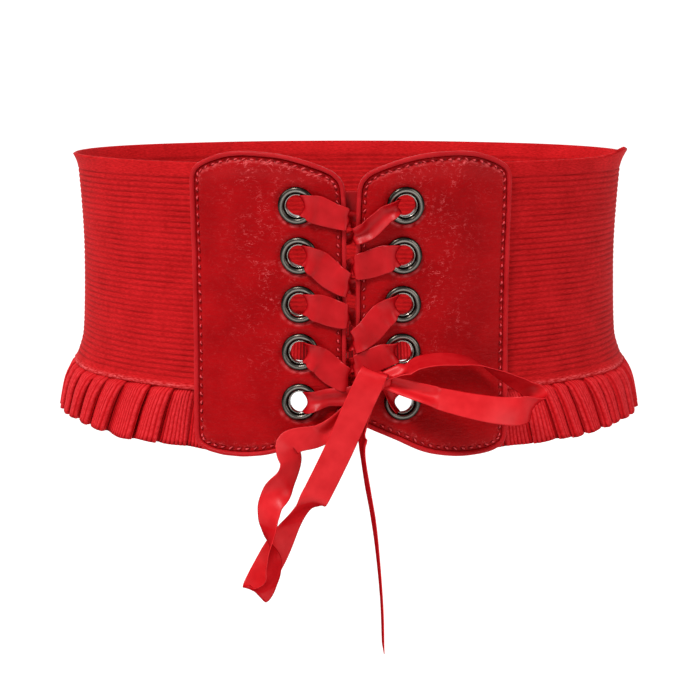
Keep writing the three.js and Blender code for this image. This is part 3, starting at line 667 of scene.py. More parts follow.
hem = hem + pleat_slants[which] * np.sin(np.pi * share)
place = head[:, None] + (hem - head)[:, None] * row_lean[None, :]
across = pleat_starts[which][:, None] + pleat_widths[which][:, None] * place
from_front = np.minimum(across, GIRTH - across)
away = np.cos(np.pi * across / GIRTH) * smooth_step(from_front, SHIFT_FROM, SHIFT_TO)
across = across + HEM_SHIFT * row_lean * away
free = smooth_step(from_front, FLAT_FROM, FLAT_TO)
calm = 1 - (1 - CALM_RISE) * bell(from_front, CALM_SIDE, CALM_REACH)
depth = free * calm * row_rise * pleat_rises[which][:, None]
depth += (1 - free) * np.minimum(row_rise, FLAT_RISE)
out = free * row_out + (1 - free) * np.minimum(row_out, FLAT_OUT)
out = out + depth * (rise[:, None] - 0.5)
side = np.minimum(across, GIRTH - across)
sides = smooth_step(side, *FLARE_SIDES) * (1 - smooth_step(side, GIRTH / 2 - BACK_REACH, GIRTH / 2))
hem_wave = HEM_RIPPLE * ripple(across, 0 * across, HEM_RIPPLE_LENGTH, 5)
hem_wave = hem_wave + HEM_FOLLOWS_PLEAT * depth * rise[:, None]
hem_wave = hem_wave + HEM_LIFT * sides - FLAT_HEM_DROP * (1 - free)
height = row_height + row_at**2 * hem_wave
out = out + side_flare(side, height) - HEM_TUCK * row_at**2 * sides

cloth_length = lengths_along(np.stack([across[:, -1], out[:, -1]], -1))
cords = np.abs(np.sin(np.pi * cloth_length / RUFFLE_CORD_PITCH))[:, None] ** 1.3
cords = cords * smooth_step(row_at, 0.05, 0.3)
points = belt_point(across, height, out)
cross_cloth = unit(np.cross(np.gradient(points, axis=0), np.gradient(points, axis=1)))
# Rows run from the head down, so this normal points inwards
points -= cross_cloth * (RUFFLE_CORD_DEPTH * cords)[..., None]
uv = np.stack(np.broadcast_arrays(cloth_length[:, None], height), -1)
ruffle = add_surface("pleated_ruffle", points[:, ::-1], uv[:, ::-1])
# Painted shade where the cloth lies low in each fold, painted highlights on the cord crests and
# painted shade between them, and darker along the last rows of the hem
fold_shade = -0.85 * (1 - smooth_step(rise, 0.0, 0.55))[:, None] * smooth_step(row_at, 0.1, 0.4)
line_shade = 1.3 * (cords - 0.45) - 0.5 * smooth_step(row_at, 0.94, 1)
paint(ruffle, "shade", (fold_shade + line_shade)[:, ::-1])
thicken(ruffle, RUFFLE_THICKNESS, 0)
finish_piece(ruffle, ruffle_cloth, "ruffle", "ruffle")
print("ruffle cloth, mm:", round(cloth_length[-1] / MM), "in", pleat_count, "pleats")

# %% [markdown]
# ## The panels
# Each panel is a plate of faux leather with a curved crest and a rounded foot. Its
# outline is a short table of points. A Coons patch fills it: the four sides are read as
# curves, and the inside is blended from them, so the grid of points follows every edge.
# Real leather is never flat, so the distance from each point to the outline shapes a
# relief: it dips beside the rim, is drawn in along the seam and swells behind it.

# %% Panel outline
PANEL_OUTLINE = np.array([
    # across, height: from the inner top corner over the crest and round
    (2.4, 37), (3.8, 44), (9.0, 48.8), (26.5, 54.7), (41.5, 56.4), (52.5, 56.0),
    (62.5, 53.0), (68.4, 49.2), (70.3, 43.5), (70.8, 10), (70.2, -24), (68.0, -67),
    (66.6, -73.6), (61.5, -77.0), (53, -78.5), (42, -78.3), (30.5, -75.8),
    (18.5, -70.0), (7.5, -64.8), (3.2, -62.4), (2.2, -58), (2.0, -25), (2.0, 10),
]) * MM
INNER_TOP, OUTER_TOP, OUTER_FOOT, INNER_FOOT = 1, 7, 12, 19
OUTLINE_COUNT = len(PANEL_OUTLINE)
OVERLAP = 3

# A few rows are repeated at both ends, so that the curve runs smoothly past its start
wrapped = np.concatenate([PANEL_OUTLINE[-OVERLAP:], PANEL_OUTLINE, PANEL_OUTLINE[:OVERLAP + 1]])
wrapped_lengths = lengths_along(wrapped)
wrapped_lengths -= wrapped_lengths[OVERLAP]
PERIMETER = wrapped_lengths[OVERLAP + OUTLINE_COUNT]


def outline_point(at, inset):
    """The outline at a distance walked along it, moved inwards by inset. The direction
    inwards is the tangent turned by a right angle."""
    at = np.asarray(at, float) % PERIMETER
    point = read_table(at, wrapped_lengths, wrapped)
    step = 0.2 * MM
    ahead = unit(
        read_table((at + step) % PERIMETER, wrapped_lengths, wrapped)
        - read_table((at - step) % PERIMETER, wrapped_lengths, wrapped)
    )
    inwards = np.stack([ahead[..., 1], -ahead[..., 0]], -1)
    return point + inwards * np.asarray(inset)[..., None], ahead, inwards


print("panel perimeter, mm:", round(PERIMETER / MM, 1))

# %% Panel surface
GAP = 0.3 * MM
PANEL_FRONT = 2.5 * MM
PANEL_WALL = 1.9 * MM
RIM_WIDTH = 2.0 * MM
RIM_HEIGHT = 2.8 * MM
SEAM_INSET = 3.5 * MM
STITCH_PITCH = 3.8 * MM
EYELETS = np.array([
    # across, height, top to bottom
    (23.0, 33.3), (22.4, 11.5), (22.1, -9.9), (21.8, -30.9), (21.6, -53.0),
]) * MM
HOLE_IN_LEATHER = 5.3 * MM
PANEL_COLUMNS, PANEL_ROWS = 112, 206
PANEL_INSET, PANEL_SINK = 1.6 * MM, 0.2 * MM
RING_COUNT = 900
# Where each panel lies on the shared leather, so that the two have creases of their own
LEATHER_PLACES = {"left": 0.3, "right": 0.1}


def side_of_outline(first, last, count):
    """Points of one side of the outline, evenly spaced between two corner rows."""
    start = wrapped_lengths[OVERLAP + first]
    stop = wrapped_lengths[OVERLAP + last]
    return outline_point(np.linspace(start, stop, count), PANEL_INSET)[0]


def coons_patch(bottom, top, left, right):
    """Fills four curves: the blend of bottom and top plus the blend of left and right,
    less the blend of the four corners."""
    s = np.linspace(0, 1, len(bottom))[:, None, None]
    t = np.linspace(0, 1, len(left))[None, :, None]
    up = (1 - t) * bottom[:, None] + t * top[:, None]
    along = (1 - s) * left[None] + s * right[None]
    corners = (1 - s) * ((1 - t) * bottom[0] + t * top[0])
    corners = corners + s * ((1 - t) * bottom[-1] + t * top[-1])
    return up + along - corners


top = side_of_outline(INNER_TOP, OUTER_TOP, PANEL_COLUMNS)
right = side_of_outline(OUTER_TOP, OUTER_FOOT, PANEL_ROWS)[::-1]
bottom = side_of_outline(OUTER_FOOT, INNER_FOOT, PANEL_COLUMNS)[::-1]
left = side_of_outline(INNER_FOOT, OUTLINE_COUNT + INNER_TOP, PANEL_ROWS)
flat_panel = coons_patch(bottom, top, left, right)

for eye in EYELETS:
    away = flat_panel - eye
    distance = np.linalg.norm(away, axis=-1, keepdims=True) + 1e-9
    pushed = (distance**4 + HOLE_IN_LEATHER**4) ** 0.25
    flat_panel = eye + away * pushed / distance

ring_at = np.linspace(0, PERIMETER, RING_COUNT, endpoint=False)
ring = outline_point(ring_at, 0 * ring_at)[0]
gaps = np.linalg.norm(flat_panel.reshape(-1, 1, 2) - ring[None], axis=-1)
nearest = gaps.argmin(axis=1).reshape(flat_panel.shape[:2])
edge_distance = gaps.min(axis=1).reshape(flat_panel.shape[:2])
seam_place = ring_at[nearest]
from_eyes = flat_panel[:, :, None] - EYELETS
eye_distance = np.linalg.norm(from_eyes, axis=-1).min(axis=-1)
below_eye = -np.take_along_axis(
    from_eyes[..., 1], np.linalg.norm(from_eyes, axis=-1).argmin(axis=-1)[..., None], -1,
)[..., 0] / eye_distance


def panel_relief(seed):
    """Height of the leather: a dip beside the rim, a narrow channel along the seam with
    a pucker at each stitch, a swell behind it, and slow random waves."""
    x, y = flat_panel[..., 0], flat_panel[..., 1]
    dip = -0.9 * MM * bell(edge_distance, 1.6 * MM, 0.8 * MM)
    seam = bell(edge_distance, SEAM_INSET, 0.6 * MM)
    pucker = 0.5 + 0.5 * np.cos(2 * np.pi * seam_place / STITCH_PITCH)
    swell = 0.7 * MM * (1 - np.exp(-np.clip(edge_distance - SEAM_INSET, 0, 1) / (2.4 * MM)))
    waves = 0.16 * MM * ripple(x, y, 24 * MM, seed) + 0.05 * MM * ripple(x, y, 7 * MM, seed + 1)
    near_eye = bell(eye_distance, 7.8 * MM, 1.8 * MM)
    return dip - 0.5 * MM * seam * (0.4 + pucker) + swell + waves - 0.6 * MM * near_eye


def panel_shade():
    """Painted shade in the dimples where the thread goes into the leather, between two
    stitches, and in a darker line beside the rim; painted highlights in pale lines along
    the seam of the crest, a soft shine below it and a crescent under each eyelet, where
    the leather is drawn tight."""
    phase = np.abs(seam_place / STITCH_PITCH % 1 - 0.5) * STITCH_PITCH
    spot = bell(phase, STITCH_PITCH / 2, 0.8 * MM) * bell(edge_distance, SEAM_INSET, 0.7 * MM)
    crest = smooth_step(flat_panel[..., 1], 40 * MM, 47 * MM)
    patches = 0.5 + 0.5 * ripple(seam_place, edge_distance, 3 * MM, 6)
    # Painted highlight along the seam of the crest
    painted_highlight = patches * bell(edge_distance, 4.3 * MM, 0.6 * MM)
    shine = 0.05 * bell(edge_distance, 8.5 * MM, 3.5 * MM)
    beside_rim = 0.35 * bell(edge_distance, 2.0 * MM, 0.7 * MM)
    under = smooth_step(below_eye, 0.2, 0.8)
    crescent = 0.9 * patches * bell(eye_distance, 9.1 * MM, 0.5 * MM) * under
    return crest * (0.55 * painted_highlight + shine) + crescent - 0.6 * spot - beside_rim


def panel_glint():
    """How strongly the painted glints on the creases show: a little everywhere, most in
    the middle of the panel, where it bends in use, along the seam of the crest and the foot."""
    x, y = flat_panel[..., 0], flat_panel[..., 1]
    middle = bell(x, 36 * MM, 16 * MM) * smooth_step(y, -75 * MM, 20 * MM)
    middle = middle * np.clip(0.55 + 0.8 * ripple(x, y, 14 * MM, 8), 0, 1.3)
    crest = bell(edge_distance, 4.7 * MM, 1.1 * MM) * smooth_step(y, 36 * MM, 46 * MM)
    foot = bell(edge_distance, 5.0 * MM, 1.2 * MM) * smooth_step(-y, 60 * MM, 68 * MM)
    return 0.06 + 0.8 * middle + 1.1 * crest + 0.5 * foot


def add_panel(name, side, seed):
    """The patch bent round the waist, mirrored for the left panel, without the faces
    inside its eyelets."""
    x, y = flat_panel[..., 0], flat_panel[..., 1]
    points = belt_point(side * x, y, PANEL_FRONT - PANEL_SINK + panel_relief(seed))
    near = np.maximum.reduce([
        eye_distance[:-1, :-1], eye_distance[1:, :-1], eye_distance[:-1, 1:], eye_distance[1:, 1:],
    ])
    keep = near > HOLE_IN_LEATHER * 1.02
    uv = np.stack([x + LEATHER_PLACES[name], y], -1)
    shade, glint = panel_shade(), panel_glint()
    if side < 0:
        points, uv, keep, shade, glint = (grid[::-1] for grid in (points, uv, keep, shade, glint))
    piece = add_surface(f"leather_{name}", points, uv, keep)
    paint(piece, "shade", shade)
    # Where the painted glints on the creases show
    paint(piece, "glint", glint)
    thicken(piece, PANEL_WALL, -1)
    return finish_piece(piece, panel_leather, "leatherette", f"panel_{name}")


panels = {"left": add_panel("left", -1, 21), "right": add_panel("right", 1, 31)}

# %% [markdown]
# ## The rolled rims
# A strip of the same leather is rolled over the raw edge of each panel. Its section is
# a flattened round, carried along the outline. The roll was turned by hand, so its
# width and its height waver a little.

# %% Rims
RIM_STEPS, RIM_CORNERS = 420, 14


def add_rim(name, side, seed):
    """A rounded section carried round the outline: inset follows the cosine and out the
    sine of the angle round the roll, each drawn towards a square by a root."""
    at = np.linspace(0, PERIMETER, RIM_STEPS, endpoint=False)
    turn = np.linspace(0, 2 * np.pi, RIM_CORNERS, endpoint=False)
    at, turn = meshgrid(at, turn)
    swell = 1 + 0.05 * ripple(at, 0 * at, 9 * MM, seed)
    cos, sin = np.cos(turn), np.sin(turn)
    inset = RIM_WIDTH / 2 * (1 + swell * np.sign(cos) * np.abs(cos) ** 0.8)
    out = GAP + RIM_HEIGHT / 2 * (1 + swell * np.sign(sin) * np.abs(sin) ** 0.8)
    flat = outline_point(at, inset)[0]
    points = belt_point(side * flat[..., 0], flat[..., 1], out)
    around = np.linspace(0, 0.008, RIM_CORNERS + 1)
    along = np.linspace(0, PERIMETER, RIM_STEPS + 1)
    uv = np.stack(meshgrid(along, around), -1)
    if side > 0:
        points, uv = points[:, ::-1], uv[:, ::-1]
    piece = add_surface(f"rolled_rim_{name}", points, uv, round_u=True, round_v=True)
    return finish_piece(piece, rim_leather, "rim", f"rim_{name}")


rims = {"left": add_rim("left", -1, 41), "right": add_rim("right", 1, 42)}

# %% [markdown]
# ## The seams
# Pale red thread, one stitch every 3.8 mm. A stitch is a short round bow of thread that
# dips into the leather at both ends. All stitches of a panel are one array: the place
# of each on the outline plus the points of one bow.

# %% Stitching
STITCH_HALF_LENGTH = 0.75 * MM
THREAD_RADIUS = 0.36 * MM
STITCH_SLANT = 0.3
STITCH_RINGS, STITCH_SIDES = 6, 6
STITCH_ARCH, STITCH_SINK = 0.55 * MM, 0.45 * MM


def add_stitching(name, side, seed):
    """One bow of thread per stitch: along the seam it runs from end to end, across it
    slants a little, and its height is an arch."""
    count = int(PERIMETER / STITCH_PITCH)
    draw = np.random.default_rng(seed)
    start = (np.arange(count) + 0.5) * PERIMETER / count
    start = start[:, None, None]
    length = np.linspace(-1, 1, STITCH_RINGS)[None, :, None]
    turn = np.linspace(0, 2 * np.pi, STITCH_SIDES, endpoint=False)[None, None, :]
    slant = STITCH_SLANT + draw.uniform(-0.5, 0.5, count)[:, None, None]
    thick = THREAD_RADIUS * draw.uniform(0.7, 1.25, count)[:, None, None]
    taper = np.sqrt(1 - 0.75 * length**2)
    along = STITCH_HALF_LENGTH * length + 0 * turn
    sideways = thick * taper * np.cos(turn) + slant * STITCH_HALF_LENGTH * length
    arch = STITCH_ARCH * (1 - length**2) + thick * taper * np.sin(turn)
    flat, ahead, inwards = outline_point(start, SEAM_INSET + 0 * start)
    flat = flat + ahead * along[..., None] + inwards * sideways[..., None]
    out = PANEL_FRONT - STITCH_SINK + arch
    points = belt_point(side * flat[..., 0], flat[..., 1], out)
    if side > 0:
        points = points[:, :, ::-1]
    faces = grid_faces(STITCH_RINGS, STITCH_SIDES, round_v=True).reshape(-1, 4)
    starts = np.arange(count) * STITCH_RINGS * STITCH_SIDES
    all_faces = (faces[None] + starts[:, None, None]).reshape(-1, 4)
    first_ring = np.arange(STITCH_SIDES)
    last_ring = (STITCH_RINGS - 1) * STITCH_SIDES + first_ring[::-1]
    caps = [start + ring for ring in (first_ring, last_ring) for start in starts]
    uv = np.zeros((len(all_faces), 4, 2))
    piece = add_mesh(f"stitching_{name}", points.reshape(-1, 3), all_faces, uv, caps)
    return finish_piece(piece, thread_finish, "rim")


seams = {"left": add_stitching("left", -1, 51), "right": add_stitching("right", 1, 52)}

# %% [markdown]
# ## The eyelets
# An eyelet is two pressed metal rings: a domed flange in front, whose barrel goes
# through the leather, and a flat collar behind. It is turned like a pot: a profile of
# radius and depth, read smoothly, is carried round the axis.

# %% Eyelets
EYELET_SIDES, SECTION_POINTS = 56, 90
EYELET_PROFILE = np.array([
    # radius, out from the panel's face: round the whole section and back to the start
    (4.60, 0.10), (4.60, -1.6), (4.62, -3.2), (4.9, -3.45), (6.0, -3.45), (7.15, -3.4),
    (7.2, -3.1), (6.2, -2.95), (5.32, -2.8), (5.28, -1.4), (5.3, 0.1), (6.6, 0.25),
    (7.95, 0.20), (8.22, 0.42), (8.05, 0.95), (7.5, 1.42), (6.8, 1.62), (6.1, 1.42),
    (5.62, 0.95), (5.42, 0.42), (5.24, 0.42), (5.05, 0.66), (4.8, 0.60),
]) * MM


def add_eyelet(name, side, eye):
    """The profile carried round: the point at a turn is the centre plus radius times
    the cosine along the belt and the sine up it, plus depth outwards."""
    closed = np.concatenate([EYELET_PROFILE, EYELET_PROFILE[:1]])
    lengths = lengths_along(closed)
    section = read_table(np.linspace(0, lengths[-1], SECTION_POINTS + 1)[:-1], lengths, closed)
    turn = np.linspace(0, 2 * np.pi, EYELET_SIDES, endpoint=False)[:, None, None]
    radius, depth = section[None, :, :1], section[None, :, 1:]
    centre = belt_point(side * eye[0], eye[1], PANEL_FRONT)
    along, up, outwards = belt_directions(side * eye[0], eye[1], PANEL_FRONT)
    points = centre + radius * (np.cos(turn) * along + np.sin(turn) * up) + depth * outwards
    around = np.linspace(0, 0.05, EYELET_SIDES + 1)
    across_section = np.linspace(0, 0.02, SECTION_POINTS + 1)
    uv = np.stack(meshgrid(around, across_section), -1)
    piece = add_surface(f"metal_eyelet_{name}", points, uv, round_u=True, round_v=True)
    # Painted reflections: dark in the groove and at the outer edge, bright on the inner lip and the
    # top of the dome
    dark = bell(section[:, 0], 5.5 * MM, 0.3 * MM) + bell(section[:, 0], 8.25 * MM, 0.4 * MM)
    bright = bell(section[:, 0], 4.95 * MM, 0.16 * MM) + 0.5 * bell(section[:, 0], 6.7 * MM, 0.45 * MM)
    paint(piece, "shade", np.tile(np.clip(bright - dark, -1, 1), EYELET_SIDES))
    return finish_piece(piece, antique_nickel, "eyelet", f"eyelet_{name}")


for name, side in (("left", -1), ("right", 1)):
    for k, eye in enumerate(EYELETS):
        add_eyelet(f"{name}_{k + 1}", side, eye)

# %% [markdown]
# ## The satin ribbon
# One ribbon, 12.5 mm wide, makes the lace and the bow. Its middle line is a table of
# points with the width that it has there. Where it goes through an eyelet it is
# narrower than it was woven, so it has to fold: its section becomes a shallow gutter or
# wave, which takes up part of the slack.

# %% A ribbon along a path
RIBBON_THICKNESS = 0.35 * MM
UNFOLDED_SLACK, WAVED_SLACK = 0.25, 0.18
RIBBON_COLUMNS = 25
STATION_STEP = 0.9 * MM


def ribbon_points(centre, side, width, folds, curl):
    """Places the section of the ribbon along its path. The section has as many waves
    as folds says; half a wave is a gutter, whose bottom stays on the path. A wave of
    amplitude a and wave number k is longer than its width by a share of about
    (a k / 2) squared, which gives a. curl, from -1 to 1, scales and turns it over. Only
    part of the slack goes into the wave; the rest lies folded flat and doesn't show."""
    folds, curl = np.broadcast_to(folds, width.shape), np.broadcast_to(curl, width.shape)
    ahead = unit(np.gradient(centre, axis=0))
    side = unit(side - ahead * np.sum(side * ahead, axis=-1, keepdims=True))
    face = np.cross(ahead, side)
    q = np.linspace(-0.5, 0.5, RIBBON_COLUMNS)[None, :]
    slack = np.clip(RIBBON_WIDTH / width - 1 - UNFOLDED_SLACK, 0, WAVED_SLACK)
    amplitude = width / (np.pi * folds) * np.sqrt(slack)
    phase = 2 * np.pi * folds[:, None] * q + 0.6 * (folds[:, None] - 0.5)
    depth = (amplitude * curl)[:, None] * (np.clip(1.5 - folds, 0, 1)[:, None] - np.cos(phase))
    across = (q * width[:, None])[..., None]
    return centre[:, None] + side[:, None] * across + face[:, None] * depth[..., None]


def add_ribbon(name, material, centre, side, width, folds, curl, *nodes):
    """A ribbon with its cloth's thickness, and its length and width as the UV map."""
    points = ribbon_points(centre, side, width, folds, curl)
    length = lengths_along(centre)
    uv = np.stack(meshgrid(length, np.linspace(0, RIBBON_WIDTH, RIBBON_COLUMNS)), -1)
    piece = add_surface(name, points, uv)
    thicken(piece, RIBBON_THICKNESS, 0)
    finish_piece(piece, material, "satin_ribbon", *nodes)
    print(f"  {name}: {length[-1] / MM:.0f} mm long")
    return piece, float(length[-1])


def sample_path(points, others):
    """A table of points and other columns, read smoothly at even steps of its length."""
    lengths = lengths_along(points)
    count = int(lengths[-1] / STATION_STEP)
    at = np.linspace(0, lengths[-1], count)
    return read_table(at, lengths, points), read_table(at, lengths, others)


# %% [markdown]
# ## The lace
# From behind, the ribbon comes up through an eyelet, runs over the panel to its inner
# edge, dives into the gap and passes behind the other panel to the next eyelet below.
# Both strands do this, from left and from right, and the top bar joins them behind the
# two top eyelets. Each hop repeats the same two short tables.

# %% Lace tables
CROSSINGS = [
    # for the strand from the left, and for the one from the right: the height where it
    # dives through the gap, and the share of its width that it keeps before and in it
    ((27.2, 1.0, 0.9), (19.1, 0.62, 0.7)),
    ((6.2, 1.0, 1.0), (-2.2, 1.0, 1.0)),
    ((-15.3, 1.0, 1.0), (-27.6, 0.95, 0.95)),
    ((-37.2, 0.88, 0.9), (-44.0, 0.95, 1.0)),
]
UP_THROUGH_EYELET = [
    # off towards the gap, out, width, share of the way to the crossing
    (7.6, -1.9, 9, -0.3), (5.0, -2.4, 8.4, -0.1), (3.5, -1.4, 8.2, 0),
    (3.2, 1.6, 8.6, 0), (3.7, 3.6, 9.6, 0),
    (5.4, 4.8, 10.8, 0.08), (7.2, 4.9, 12, 0.18), (9.4, 4.3, 12.4, 0.3),
]
DIVE = [
    # before the middle of the gap, out, width
    (7.6, 4.1, 12.3), (3.4, 4.9, 11.4), (1.6, 4.5, 10.2), (1.1, 2.4, 8.6),
    (0.9, 0.4, 7.4), (-0.4, -1.0, 7.2), (-2.6, -1.6, 7.4), (-6.5, -2.4, 8.5),
]
TOP_BAR = [(-12, 33.2, -2.6, 10.5), (-4, 33.6, -2.7, 11), (4, 33.6, -2.7, 11), (12, 33.2, -2.6, 10.5)]
LEFT_END = [
    (-13.6, -51.6, 5, 8.4), (-9.5, -50.4, 4.4, 7.8), (-3.5, -50.0, 4.6, 8.2),
    (2.8, -48.2, 5.2, 7.6), (7.6, -43.6, 6.2, 4.6),
]
RIGHT_END = [(15.6, -49.8, 5.7, 4.4), (13.8, -43.8, 6.4, 3.6)]


def strand(first_side, column):
    """Rows of one strand from its top eyelet to the bottom one: across, height, out and
    width, in millimetres. The strand changes sides at every eyelet."""
    rows = []
    before = 0
    for k, (eye_across, eye_height) in enumerate(EYELETS / MM):
        side = first_side if k % 2 == 0 else -first_side
        last = k == len(CROSSINGS)
        after, kept_before, kept_in = (eye_height, 1, 1) if last else CROSSINGS[k][column]
        for off, out, width, drop in UP_THROUGH_EYELET:
            target, kept = (before, 1) if drop < 0 else (after, kept_before)
            height = eye_height + (target - eye_height) * abs(drop)
            rows.append((side * (eye_across - off), height, out, width * kept))
        if not last:
            for ahead, out, width in DIVE:
                towards = EYELETS[k + 1][1] / MM if ahead < 0 else eye_height
                height = after + (towards - after) * abs(ahead) / eye_across
                rows.append((side * ahead, height, out, width * kept_in))
        before = after
    return rows


from_left = (strand(-1, 0)[:-3] + LEFT_END)[::-1]
from_right = strand(1, 1)[:-3] + RIGHT_END
lace_rows = np.array(from_left + TOP_BAR + from_right) * MM
lace_centre, lace_rest = sample_path(belt_point(*lace_rows[:, :3].T), lace_rows)
lace_along, lace_up, lace_out = belt_directions(*lace_rest[:, :3].T)
# The hollow of the curl faces the viewer, and inside a hole the middle of the hole
hollow = lace_out + np.tanh(lace_rest[:, :1] / (2 * MM)) * lace_along
lace_face = np.cross(unit(np.gradient(lace_centre, axis=0)), lace_up)
lace_curl = np.clip(1.5 * np.sum(lace_face * hollow, axis=-1), -1, 1)
in_gap = 1 - smooth_step(np.abs(lace_rest[:, 0]), 3 * MM, 9 * MM)
to_knot = smooth_step(-lace_rest[:, 1], 46 * MM, 49 * MM)
to_knot = to_knot * (1 - smooth_step(np.abs(lace_rest[:, 0]), 12.5 * MM, 16 * MM))
lace, lace_length = add_ribbon(
    "satin_lace", shaded_lace_satin, lace_centre, lace_up, lace_rest[:, 3],
    0.5 + np.maximum(0.5 * in_gap, to_knot), lace_curl * (1 - 0.6 * to_knot), "lace",
)

# %% [markdown]
# ## The bow
# The bow hangs loose from its knot, a little right of the middle: a wide loop to the
# right, a long loop that hangs to the left and turns over at its end, and two tails.
# Each is a table of its middle line and its width, with two angles for the direction of
# the width: lean carries it from upright to level, and turn swings it to the viewer.

# %% Bow tables
RIGHT_LOOP = [
    # x, y, z, width, lean, turn
    (12, -97.4, -41.5, 5, 0, -60), (15.9, -98.2, -40.2, 6.5, 0, -60), (23, -99, -37.4, 9.5, 0, -68),
    (28.9, -98.4, -34, 12, 0, -74), (36.4, -97.2, -32.6, 12.5, 0, -76),
    (45.6, -95.4, -32.9, 12.5, 0, -78), (55, -93.4, -34.6, 12.5, 0, -91),
    (63.2, -91.7, -39.1, 12.5, 0, -113), (72.4, -90, -44.2, 12.5, 0, -128),
    (78.3, -89.4, -47.8, 12.5, 12, -138), (81.6, -92, -51.3, 12.5, 40, -168),
    (80.6, -96.4, -53.6, 12.5, 45, -184), (74.4, -99.8, -55, 12.5, 28, -194),
    (66.8, -101.5, -54.7, 12.5, 12, -208), (55.7, -102.8, -52.8, 12.5, 2, -218),
    (42.9, -103, -49.9, 11.2, 0, -218), (31.9, -101.7, -47.3, 8.8, 0, -210),
    (21.1, -99.5, -44.2, 7.2, 0, -200), (12, -97.4, -41.4, 6, 0, -195),
]
LEFT_LOOP = [
    (9, -96.2, -42.4, 9.5, 105, 0), (10.9, -97.2, -38.9, 10.6, 108, 0),
    (10.2, -100.6, -37.4, 11.6, 110, 0), (8.4, -102.9, -40, 12.4, 114, 0),
    (2.4, -103.7, -53.1, 12.5, 116, 0), (-6.1, -104.1, -72.5, 12.5, 116, 0),
    (-14.2, -104.4, -89.4, 12.5, 113, 0), (-16.7, -104.1, -94, 12.5, 100, 0),
    (-18.9, -102.2, -96.8, 12.5, 96, -25), (-22.1, -100, -100.1, 12.5, 104, -48),
    (-27.5, -97.6, -108.3, 12.5, 115, -40), (-36.3, -97.2, -125, 12.5, 118, 5),
    (-40.8, -98.6, -133.2, 12.5, 127, 15), (-42.8, -100.6, -137.6, 12.5, 136, 12),
    (-41.8, -102.6, -138.2, 12.5, 137, -8), (-38.6, -104.4, -135.6, 12.5, 124, -42),
    (-34.9, -106, -129.6, 12.5, 100, -60),
    (-34.4, -107, -122.5, 12.5, 90, -60),
    (-35.6, -107.4, -116, 12.5, 87, -84), (-36.3, -107.2, -111.9, 12.5, 84, -106),
    (-36.4, -106.4, -106.1, 12.5, 80, -127), (-36.4, -105, -101.1, 12.5, 78, -143),
    (-35.5, -104, -95.9, 12.5, 75, -158), (-31.6, -102.3, -89.4, 12.5, 72, -196),
    (-27.9, -100.8, -83.2, 12.5, 78, -220), (-26.5, -100.2, -77.5, 12.5, 90, -224),
    (-27.6, -100.4, -72.8, 12.5, 98, -214), (-27.3, -99.6, -70.1, 12, 125, -190),
    (-23.8, -98.6, -68.4, 11, 150, -180), (-14.6, -97.8, -66.6, 10, 165, -180),
    (-5, -97.7, -59.6, 8, 145, -180), (3.8, -97.1, -48.9, 5.4, 135, -180),
    (9, -96.6, -43.7, 4, 135, -180),
]
TAIL_FRONT = [
    (11.4, -97.6, -43.5, 3.6, 90, 0), (8.3, -100.2, -49.5, 5.2, 90, 8),
    (5.6, -100, -58.1, 6.5, 90, 35), (4.7, -99, -65.2, 9.5, 90, 60),
    (4.7, -98.4, -69.9, 12, 90, 76), (5.1, -99.6, -75.9, 12.5, 90, 80),
    (7.3, -101.5, -90, 12.5, 90, 79), (9.5, -102.6, -102.5, 12.5, 90, 80),
    (11.5, -103, -118.7, 12.5, 90, 83), (13.6, -103, -143.7, 12.5, 90, 86),
    (14.3, -103, -164.3, 12.5, 90, 87.5),
]
TAIL_BACK = [
    (7.6, -100.6, -44.6, 3.4, 90, 0), (3.2, -101.9, -50.2, 5, 90, 0),
    (1.4, -101.7, -55.5, 7, 90, 0), (-2.2, -101.7, -64.5, 9.5, 90, 0),
    (-8.6, -102, -78.8, 11, 90, 0), (-13.6, -102, -88, 12, 90, 0),
]
UPRIGHT = np.array([0.0, 0.0, 1.0])
LEVEL = np.array([1.0, 0.0, 0.0])
TOWARDS_VIEWER = np.array([0.0, -1.0, 0.0])


def add_bow_ribbon(name, rows, node):
    """A ribbon from a table. Lean turns the width's direction from upright to level,
    and turn swings that direction towards the viewer: each is a cosine of the first
    direction plus a sine of the second."""
    table = np.array(rows, float)
    centre, rest = sample_path(table[:, :3] * MM, table[:, 3:])
    lean, turn = np.radians(rest[:, 1:2]), np.radians(rest[:, 2:3])
    flat = np.cos(lean) * UPRIGHT + np.sin(lean) * LEVEL
    side = np.cos(turn) * flat + np.sin(turn) * TOWARDS_VIEWER
    width = rest[:, 0] * MM
    piece, length = add_ribbon(name, ribbon_satin, centre, side, width, 1.0, 1.0, node)


add_bow_ribbon("satin_loop_right", RIGHT_LOOP, "bow_loop_right")
add_bow_ribbon("satin_loop_left", LEFT_LOOP, "bow_loop_left")
add_bow_ribbon("satin_tail_front", TAIL_FRONT, "ribbon_tail_front")
add_bow_ribbon("satin_tail_back", TAIL_BACK, "ribbon_tail_back")

# %% Knot
KNOT = np.array([11.6, -97.4, -42.2]) * MM
KNOT_HALF = np.array([6.4, 3.9, 4.3]) * MM
KNOT_COLUMNS, KNOT_ROWS = 64, 40


